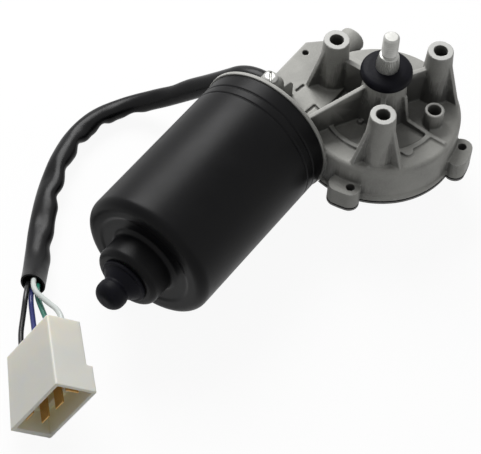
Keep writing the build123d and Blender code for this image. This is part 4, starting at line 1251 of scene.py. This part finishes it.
@dataclass
class CableHarness(SubAssembly):
    """Vinyl sleeve with its four wires, from the grommet to the connector."""

    sleeve_diameter: float = 10.8
    sleeve_length: float = 225.1
    wire_diameter: float = 2.6
    sleeve_wall: float = 0.9
    mouth_depth: float = 9.0
    rings: int = 300
    round_segments: int = 40
    route: tuple[Point, ...] = (
        (-0.028, 0.050, -0.0214),
        (-0.028, 0.060, -0.0214),
        (-0.0306, 0.0732, -0.0344),
        (-0.0346, 0.090, -0.0494),
        (-0.040, 0.1045, -0.062),
        (-0.0485, 0.118, -0.069),
        (-0.0635, 0.1255, -0.069),
        (-0.0815, 0.127, -0.069),
        (-0.0995, 0.1228, -0.069),
        (-0.117, 0.1152, -0.069),
        (-0.134, 0.1053, -0.069),
        (-0.1495, 0.095, -0.068),
        (-0.161, 0.087, -0.0636),
        (-0.170, 0.0808, -0.0576),
    )
    # degrees: how far the flattened section swings, and where it starts; waves along the sleeve
    twist_swing: float = 35.0
    twist_start: float = 10.0
    twist_waves: float = 7.0
    # height of the shoulder on each side of a crease, as a share of its depth, and its place in spreads
    shoulder_rise: float = 0.3
    shoulder_at: float = 2.0
    # share of the length, width and thickness in millimetres
    stations: tuple[Point, ...] = (
        (0.00, 10.8, 10.8),
        (0.10, 10.6, 10.4),
        (0.25, 10.4, 9.0),
        (0.38, 9.6, 8.6),
        (0.50, 10.4, 8.8),
        (0.60, 11.2, 8.4),
        (0.68, 12.6, 7.8),
        (0.78, 12.9, 7.8),
        (0.88, 12.4, 8.6),
        (0.96, 12.3, 9.0),
        (1.00, 12.5, 9.4),
    )
    # share of the length, direction round the sleeve in degrees, depth and spread in millimetres
    creases: tuple[tuple[float, float, float, float], ...] = (
        (0.225, 325.0, 1.3, 3.2),
        (0.270, 60.0, 0.5, 6.0),
        (0.385, 262.0, 1.8, 3.2),
        (0.430, 80.0, 0.5, 7.0),
        (0.471, 235.0, 2.0, 3.2),
        (0.530, 110.0, 0.7, 6.0),
        (0.557, 205.0, 1.9, 3.4),
        (0.640, 195.0, 1.2, 4.0),
        (0.670, 60.0, 0.8, 6.0),
        (0.722, 188.0, 1.6, 3.8),
        (0.800, 90.0, 0.7, 6.0),
        (0.860, 200.0, 1.0, 4.5),
    )
    wires: tuple[WireRun, ...] = (
        WireRun(
            "black",
            (
                (-0.17113, 0.08277, -0.05725), (-0.17762, 0.07830, -0.05292),
                (-0.18750, 0.07206, -0.05529), (-0.19739, 0.06581, -0.05566),
                (-0.20229, 0.06082, -0.05566),
            ),
            0.0392,
        ),
        WireRun(
            "blue",
            (
                (-0.17112, 0.08051, -0.05959), (-0.17762, 0.07603, -0.05525),
                (-0.18502, 0.06848, -0.05862), (-0.19241, 0.06093, -0.05998),
                (-0.19732, 0.05594, -0.05998),
            ),
            0.0372,
        ),
        WireRun(
            "green",
            (
                (-0.16887, 0.07883, -0.05795), (-0.17537, 0.07435, -0.05362),
                (-0.18152, 0.06531, -0.05245), (-0.18768, 0.05627, -0.04927),
                (-0.19259, 0.05128, -0.04927),
            ),
            0.0381,
        ),
        WireRun(
            "white",
            (
                (-0.16888, 0.08109, -0.05561), (-0.17537, 0.07661, -0.05128),
                (-0.17949, 0.06444, -0.04611), (-0.18361, 0.05227, -0.03893),
                (-0.18851, 0.04728, -0.03893),
            ),
            0.0441,
        ),
    )

    def spline(self, name: str, corners: Sequence[Point]) -> Piece:
        """Smooth open curve that a list of corners controls.

        Args:
            name: The curve's name.
            corners: Control points in metres.

        Returns:
            The curve's object, in the scene.
        """
        curve = bpy.data.curves.new(name, "CURVE")
        curve.dimensions = "3D"
        curve.resolution_u = 16
        line = curve.splines.new("NURBS")
        line.points.add(len(corners) - 1)
        for point, corner in zip(line.points, corners):
            point.co = (*corner, 1.0)
        line.order_u = 3
        line.use_endpoint_u = True
        return placed(name, curve)

    def read_line(self, curve: Piece, count: int) -> np.ndarray:
        """Evenly spaced points along a curve's own line.

        Args:
            curve: A curve with no bevel.
            count: Number of points.

        Returns:
            The points, in metres.
        """
        graph = bpy.context.evaluated_depsgraph_get()
        mesh = bpy.data.meshes.new_from_object(curve.evaluated_get(graph), depsgraph=graph)
        line = np.array([vert.co for vert in mesh.vertices])
        bpy.data.meshes.remove(mesh)
        far = np.concatenate([[0.0], np.cumsum(np.linalg.norm(np.diff(line, axis=0), axis=1))])
        even = np.linspace(0.0, far[-1], count)
        return np.stack([np.interp(even, far, line[:, k]) for k in range(3)], 1)

    def section(self, share: float, turn: np.ndarray, along: float) -> np.ndarray:
        """Radius of the sleeve round one ring, in millimetres.

        Args:
            share: Place along the sleeve from 0 to 1.
            turn: Angles round the ring.
            along: Place along the sleeve in millimetres.

        Returns:
            One radius for each angle.
        """
        table = np.array(self.stations)
        wide = np.interp(share, table[:, 0], table[:, 1]) / 2
        thick = np.interp(share, table[:, 0], table[:, 2]) / 2
        swing = self.twist_swing * math.sin(share * self.twist_waves)
        twist = math.radians(swing + self.twist_start)
        local = turn - twist
        radius = wide * thick / np.sqrt((thick * np.cos(local)) ** 2 + (wide * np.sin(local)) ** 2)
        for place, direction, depth, spread in self.creases:
            far = (along - place * self.sleeve_length) / spread
            lobe = np.clip(np.cos(turn - math.radians(direction)), 0, 1) ** 2
            radius = radius - depth * np.exp(-(far**2)) * lobe
            shoulders = sum(np.exp(-((far - side * self.shoulder_at) ** 2)) for side in (1, -1))
            radius = radius + self.shoulder_rise * depth * shoulders * lobe
        return radius

    def sleeve_mesh(self, line: np.ndarray) -> Piece:
        """Sweep the sleeve's skin along a line, with a wall at its open end.

        Args:
            line: Points in metres.

        Returns:
            The sleeve.
        """
        ahead = np.gradient(line, axis=0)
        ahead /= np.linalg.norm(ahead, axis=1)[:, None]
        turn = np.linspace(0, 2 * math.pi, self.round_segments, endpoint=False)
        up = np.array([0.0, 0.0, 1.0])
        rings: list[np.ndarray] = []
        total = self.sleeve_length
        for k, point in enumerate(line):
            side = np.cross(ahead[k], up)
            side /= np.linalg.norm(side)
            above = np.cross(side, ahead[k])
            share = k / (len(line) - 1)
            radius = self.section(share, turn, share * total) * MM
            ring = point + radius[:, None] * (np.cos(turn)[:, None] * side + np.sin(turn)[:, None] * above)
            rings.append(ring)
        step = total / (len(line) - 1)
        for back in range(0, round(self.mouth_depth / step) + 1):
            k = len(line) - 1 - back
            middle = rings[k].mean(0)
            out = rings[k] - middle
            far = np.linalg.norm(out, axis=1)[:, None]
            rings.append(middle + out * (far - self.sleeve_wall * MM) / far)
        count = len(rings)
        verts = np.concatenate([*rings, line[:1], rings[-1].mean(0)[None]])
        size = self.round_segments
        loops = [range(k * size, (k + 1) * size) for k in range(count)]
        faces = ring_faces([[count * size], *loops, [count * size + 1]])
        return new_piece("vinyl_sleeve", verts, faces)

    def build(self, connector: Sequence[Piece]) -> None:
        """Args:
            connector: The connector's own pieces; not used.
        """
        guide = self.spline("sleeve_guide", self.route)
        line = self.read_line(guide, self.rings)
        bpy.data.objects.remove(guide)
        sleeve = self.sleeve_mesh(line)
        self.fit(sleeve, Body.MOTOR, "black_vinyl", "cable_sleeve")
        for wire in self.wires:
            piece = self.spline("lead_" + wire.colour, wire.corners)
            piece.data.bevel_depth = self.wire_diameter / 2 * MM
            piece.data.bevel_resolution = 6
            piece.data.use_fill_caps = True
            self.fit(piece, Body.MOTOR, wire.colour + "_insulation", "wire_" + wire.colour)


@dataclass
class Connector(SubAssembly):
    """Nylon connector shroud and its brass blades."""

    voxel: float = 0.3
    smoothing: int = 2
    most: int = 120_000
    mouth: Point = (-0.2198, 0.02545, -0.02823)
    out: Point = (-0.7009, -0.7133, 0.0)
    long_way: Point = (-0.3759, 0.3693, -0.8499)
    short_way: Point = (0.6062, -0.5957, -0.5270)
    long_size: float = 41.3
    short_size: float = 21.2
    wall: float = 1.8
    # cavity: share of the wall left out, floor, and the depth over which the painted light grows, from a
    # start
    edge_share: float = 0.6
    cavity_floor: float = -23.0
    fade_length: float = 9.0
    fade_start: float = 0.15
    fade_most: float = 0.85

    def mark_cavity(self, piece: Piece) -> None:
        """Write how far inside the cavity each vertex lies, from 0 to 1, which sets the nylon's painted light
        there.

        Args:
            piece: The shroud.
        """
        mesh = piece.data
        places = np.array([vert.co for vert in mesh.vertices])
        local = (places - np.array(self.mouth)) / MM
        far = local @ np.array(self.out)
        along = local @ np.array(self.long_way)
        across = local @ np.array(self.short_way)
        margin = self.wall * self.edge_share
        inside = (along > margin) & (along < self.long_size - margin)
        inside &= (across > margin) & (across < self.short_size - margin)
        depth = np.clip(-far / self.fade_length + self.fade_start, 0, self.fade_most)
        # how strong the painted light is at each vertex
        store(mesh, "cavity", depth * inside * (far > self.cavity_floor))

    def build(self) -> list[Piece]:
        """Make the shroud and hand back the blades with it.

        Returns:
            The connector's pieces.
        """
        node = self.node("connector_housing")
        shroud = cast_copy(node, "plug_shroud", self.voxel, self.smoothing, self.most)
        self.mark_cavity(shroud)
        self.fit(shroud, Body.MOTOR, "ivory_nylon", "connector_housing")
        return [shroud, self.node("connector_terminals")]


@dataclass
class Fixings(SubAssembly):
    """Cross-recess screws of the cover and the slotted earth screw."""

    cover_radius: float = 42.7
    cover_angles: tuple[float, ...] = (195.0, 288.0, 15.0, 45.0)
    cover_seat: float = -54.2
    cover_head: tuple[float, float] = (4.0, 2.6)
    shank_length: float = 8.0
    earth_place: Point = (-33.4, 44.0, -8.4)
    earth_head: tuple[float, float] = (3.7, 1.8)
    earth_turn: float = 0.6
    earth_shank: float = 6.0
    core: float = 1.4
    thread: float = 1.9
    # recess, as shares of the head's radius and height
    arm_share: float = 0.55
    slot_share: float = 0.13
    recess_share: float = 0.6
    # where the recess's wall meets the top, and how wide the wall is, in half widths of the slot
    rim_at: float = 1.25
    rim_width: float = 0.5
    segments: int = 72
    fineness: float = 0.18

    def screw(self, name: str, radius: float, height: float, shank: float, slotted: bool) -> Piece:
        """Pan-head screw with a cross recess or a slot, standing on its seat.

        Args:
            name: The screw's name.
            radius: Head radius in millimetres.
            height: Head height in millimetres.
            shank: Shank length under the seat in millimetres.
            slotted: A single slot across the head in place of the cross.

        Returns:
            The screw, about the local z axis.
        """
        corners = (
            (0.0, -shank),
            (self.core, -shank, 0.2),
            (self.thread, -shank + 0.8, 0.3),
            (self.thread, 0.0, 0.1),
            (radius, 0.0, 0.2),
            (radius, height * 0.45, 0.6),
            (radius * 0.66, height, 1.4),
            (0.0, height),
        )
        arm, slot = radius * self.arm_share, radius * self.slot_share
        depth = height * self.recess_share

        def recess(points: np.ndarray) -> np.ndarray:
            """Press the cross or the slot into the head's top.

            Args:
                points: Local points, in millimetres.

            Returns:
                The moved points.
            """
            x, y = np.abs(points[:, 0]), np.abs(points[:, 1])
            reach = y / slot
            if not slotted:
                reach = np.minimum(np.maximum(x / arm, reach), np.maximum(y / arm, x / slot))
            moved = points.copy()
            press = depth * np.clip((self.rim_at - reach) / self.rim_width, 0, 1)
            moved[:, 2] -= press * (points[:, 2] > height / 2)
            return moved

        profile = rounded_profile(corners, False, self.fineness)
        return turned_piece(name, OUTPUT_SPINDLE, profile, self.segments, False, recess)

    def build(self, copies: Tree) -> None:
        """Set the cover's screws and the earth screw.

        Args:
            copies: The tree that puts a part on every point.
        """
        head = self.screw("cover_screw_part", *self.cover_head, self.shank_length, False)
        head.data.transform(Matrix.Rotation(math.pi, 4, "X"))
        turns = [math.radians(angle) for angle in self.cover_angles]
        radius, seat = self.cover_radius, self.cover_seat
        places = [(radius * math.cos(turn), radius * math.sin(turn), seat) for turn in turns]
        self.place("cover_screw_set", places, turns, head, copies, "cover_screws")
        earth = self.screw("earth_screw_part", *self.earth_head, self.earth_shank, True)
        self.place("earth_screw_set", [self.earth_place], [self.earth_turn], earth, copies, "earth_screw")

    def place(
        self,
        name: str,
        places: Sequence[Point],
        turns: Sequence[float],
        part: Piece,
        copies: Tree,
        node: str,
    ) -> None:
        """Put copies of a screw at its places.

        Args:
            name: The set's name.
            places: Places in millimetres.
            turns: Turn of each copy in radians.
            part: The screw.
            copies: The tree that puts a part on every point.
            node: The CAD node that the set replaces.
        """
        mesh = bpy.data.meshes.new(name)
        mesh.from_pydata([tuple(c * MM for c in place) for place in places], [], [])
        store(mesh, "turn", turns)
        piece = placed(name, mesh)
        copies.run(piece, Part=part, Finish=self.wardrobe.made["zinc_steel"])
        bpy.data.objects.remove(part)
        soften(piece.data, 40.0)
        self.fit(piece, Body.MOTOR, "zinc_steel", node)


@dataclass
class CarriedParts(SubAssembly):
    """CAD nodes that keep their own shape and get a finish."""

    slots: dict[str, tuple[str, ...]] = field(
        default_factory=lambda: {
            # the cover takes the shaded copy of the zinc finish
            "zinc_cover": ("housing_cover",),
            "zinc_steel": ("thrust_screw",),
            "gasket_rubber": ("cover_gasket",),
            "bright_steel": (
                "thrust_ball",
                "armature_shaft",
                "armature_washer",
                "wheel_washer",
                "output_washer",
                "output_circlip",
                "nose_bush_clip",
            ),
            "spring_steel": ("magnet_springs", "brush_springs"),
            "laminated_steel": ("armature_core",),
            "sintered_bronze": (
                "nose_bush",
                "flange_bush",
                "worm_end_bush",
                "upper_output_bush",
                "lower_output_bush",
            ),
            "brass": ("contact_springs", "park_disc", "connector_terminals", "brush_holders"),
            "copper": ("armature_winding", "commutator_bars", "suppressor_chokes"),
            "black_rubber": ("cable_grommet",),
            "wheel_polymer": ("worm_wheel",),
            "ferrite": ("field_magnets",),
            "carbon": ("brushes",),
            "insulator": ("brush_plate", "contact_plate", "commutator_hub"),
        }
    )

    def build(self) -> None:
        """Dress every carried node."""
        for slot, names in self.slots.items():
            for name in names:
                self.wardrobe.dress(self.node(name), slot)
                LOG.info("%s: %s", name, slot)


# ---- Studio ----


@dataclass(frozen=True)
class Lamp:
    """A soft square lamp: its direction from the object, distance, side and power."""

    name: str
    azimuth: float
    elevation: float
    distance: float
    side: float
    watts: float


@dataclass
class Studio:
    """Camera, pale floor, world and lamps."""

    ambient: float = 0.22
    azimuth: float = -57.492
    elevation: float = 53.618
    roll: float = 4.185
    distance: float = 0.9619
    scale: float = 2.099
    image: tuple[int, int] = (481, 454)
    origin_at: tuple[float, float] = (387.117, 67.857)
    sensor: float = 36.0
    target: Point = (-0.08, 0.05, -0.05)
    floor_height: float = -0.0753
    floor_gap: float = 0.0002
    floor_reach: float = 3.0
    floor_glow: float = 0.93
    floor_tones: tuple[Colour, Colour] = ((0.57, 0.57, 0.57), (0.59, 0.59, 0.59))
    lamps: tuple[Lamp, ...] = (
        Lamp("key", 144.0, 46.0, 1.0, 0.6, 10.75),
        Lamp("fill", 10.0, 25.0, 1.2, 0.8, 0.6),
    )

    def direction(self, azimuth: float, elevation: float) -> Vector:
        """Unit vector from the object: azimuth 0 is -Y and 90 is +X."""
        turn, lift = math.radians(azimuth), math.radians(elevation)
        return Vector((math.sin(turn) * math.cos(lift), -math.cos(turn) * math.cos(lift), math.sin(lift)))

    def camera(self) -> None:
        """Place the camera so that the frame's origin lands on its pixel."""
        turn, tilt = math.radians(self.azimuth), math.radians(self.roll)
        back = self.direction(self.azimuth, self.elevation)
        right = Vector((math.cos(turn), math.sin(turn), 0.0))
        up = right.cross(-back)
        across = right * math.cos(tilt) + up * math.sin(tilt)
        above = up * math.cos(tilt) - right * math.sin(tilt)
        shift = (self.origin_at[0] - self.image[0] / 2) / self.scale * MM
        lift = -(self.origin_at[1] - self.image[1] / 2) / self.scale * MM
        place = back * self.distance - across * shift - above * lift
        data = bpy.data.cameras.new("camera")
        data.sensor_width = self.sensor
        data.lens = self.sensor * self.distance / MM * self.scale / self.image[0]
        data.clip_start, data.clip_end = 0.01, 20.0
        camera = placed("camera", data)
        turned = Matrix((across, above, back)).transposed().to_4x4()
        camera.matrix_world = Matrix.Translation(place) @ turned
        bpy.context.scene.camera = camera

    def floor(self) -> None:
        """Lay the plain pale floor."""
        ends, height = (-self.floor_reach, self.floor_reach), self.floor_height - self.floor_gap
        verts = np.array([(x, y, height) for x in ends for y in ends])
        floor = new_piece("floor", verts, [(0, 2, 3, 1)])
        sheet = NodeSheet("floor_pale")
        sheet.constants(Roughness=0.9, Specular_IOR_Level=0.1)
        mottle = sheet.noise(3.0, 2.0)
        colour = sheet.blend(sheet.spread(mottle, 0.3, 0.7), *self.floor_tones)
        seen = sheet.white_rays()
        sheet.finish(sheet.blend(seen, colour, WHITE))
        glow = sheet.add("ShaderNodeEmission")
        both = sheet.add("ShaderNodeMixShader")
        sheet.link(sheet.spread(seen, 0.0, 1.0, 0.0, self.floor_glow), both.inputs[0])
        sheet.link(sheet.shader.outputs[0], both.inputs[1])
        sheet.link(glow.outputs[0], both.inputs[2])
        sheet.link(both.outputs[0], sheet.output.inputs["Surface"])
        floor.data.materials.append(sheet.material)

    def world(self) -> None:
        """White to the camera and in reflections, a plain grey light elsewhere."""
        world = bpy.data.worlds.new("studio")
        world.use_nodes = True
        nodes = NodeTools(world.node_tree)
        nodes.tree.nodes.clear()
        output = nodes.add("ShaderNodeOutputWorld")
        light = nodes.add("ShaderNodeBackground")
        light.inputs["Color"].default_value = (*WHITE, 1.0)
        strength = nodes.spread(nodes.white_rays(), 0.0, 1.0, self.ambient, 1.0)
        nodes.link(strength, light.inputs["Strength"])
        nodes.link(light.outputs[0], output.inputs[0])
        bpy.context.scene.world = world

    def light(self) -> None:
        """Hang the lamps."""
        target = Vector(self.target)
        for lamp in self.lamps:
            data = bpy.data.lights.new(lamp.name, "AREA")
            data.shape = "SQUARE"
            data.size = lamp.side
            data.energy = lamp.watts
            away = self.direction(lamp.azimuth, lamp.elevation)
            piece = placed(lamp.name, data)
            piece.location = target + away * lamp.distance
            piece.rotation_mode = "QUATERNION"
            piece.rotation_quaternion = away.to_track_quat("Z", "Y")

    def build(self) -> None:
        """Set up the whole studio."""
        self.camera()
        self.floor()
        self.world()
        self.light()
        bpy.context.scene.view_settings.view_transform = "Standard"


def main() -> None:
    """Build every sub-assembly in order."""
    logging.basicConfig(level=logging.INFO, format="%(name)s %(message)s")
    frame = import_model()
    Studio().build()
    wardrobe = Wardrobe()
    wardrobe.fill()
    copies, crown = points_tree(), crown_tree()
    CarriedParts(frame, wardrobe).build()
    connector = Connector(frame, wardrobe).build()
    CableHarness(frame, wardrobe).build(connector)
    GearHousing(frame, wardrobe).build()
    MotorCan(frame, wardrobe).build()
    NoseBoot(frame, wardrobe).build()
    OutputShaft(frame, wardrobe).build(crown)
    ShaftCap(frame, wardrobe).build()
    Fixings(frame, wardrobe).build(copies)
    bpy.context.view_layer.update()


if __name__ == "__main__":
    main()
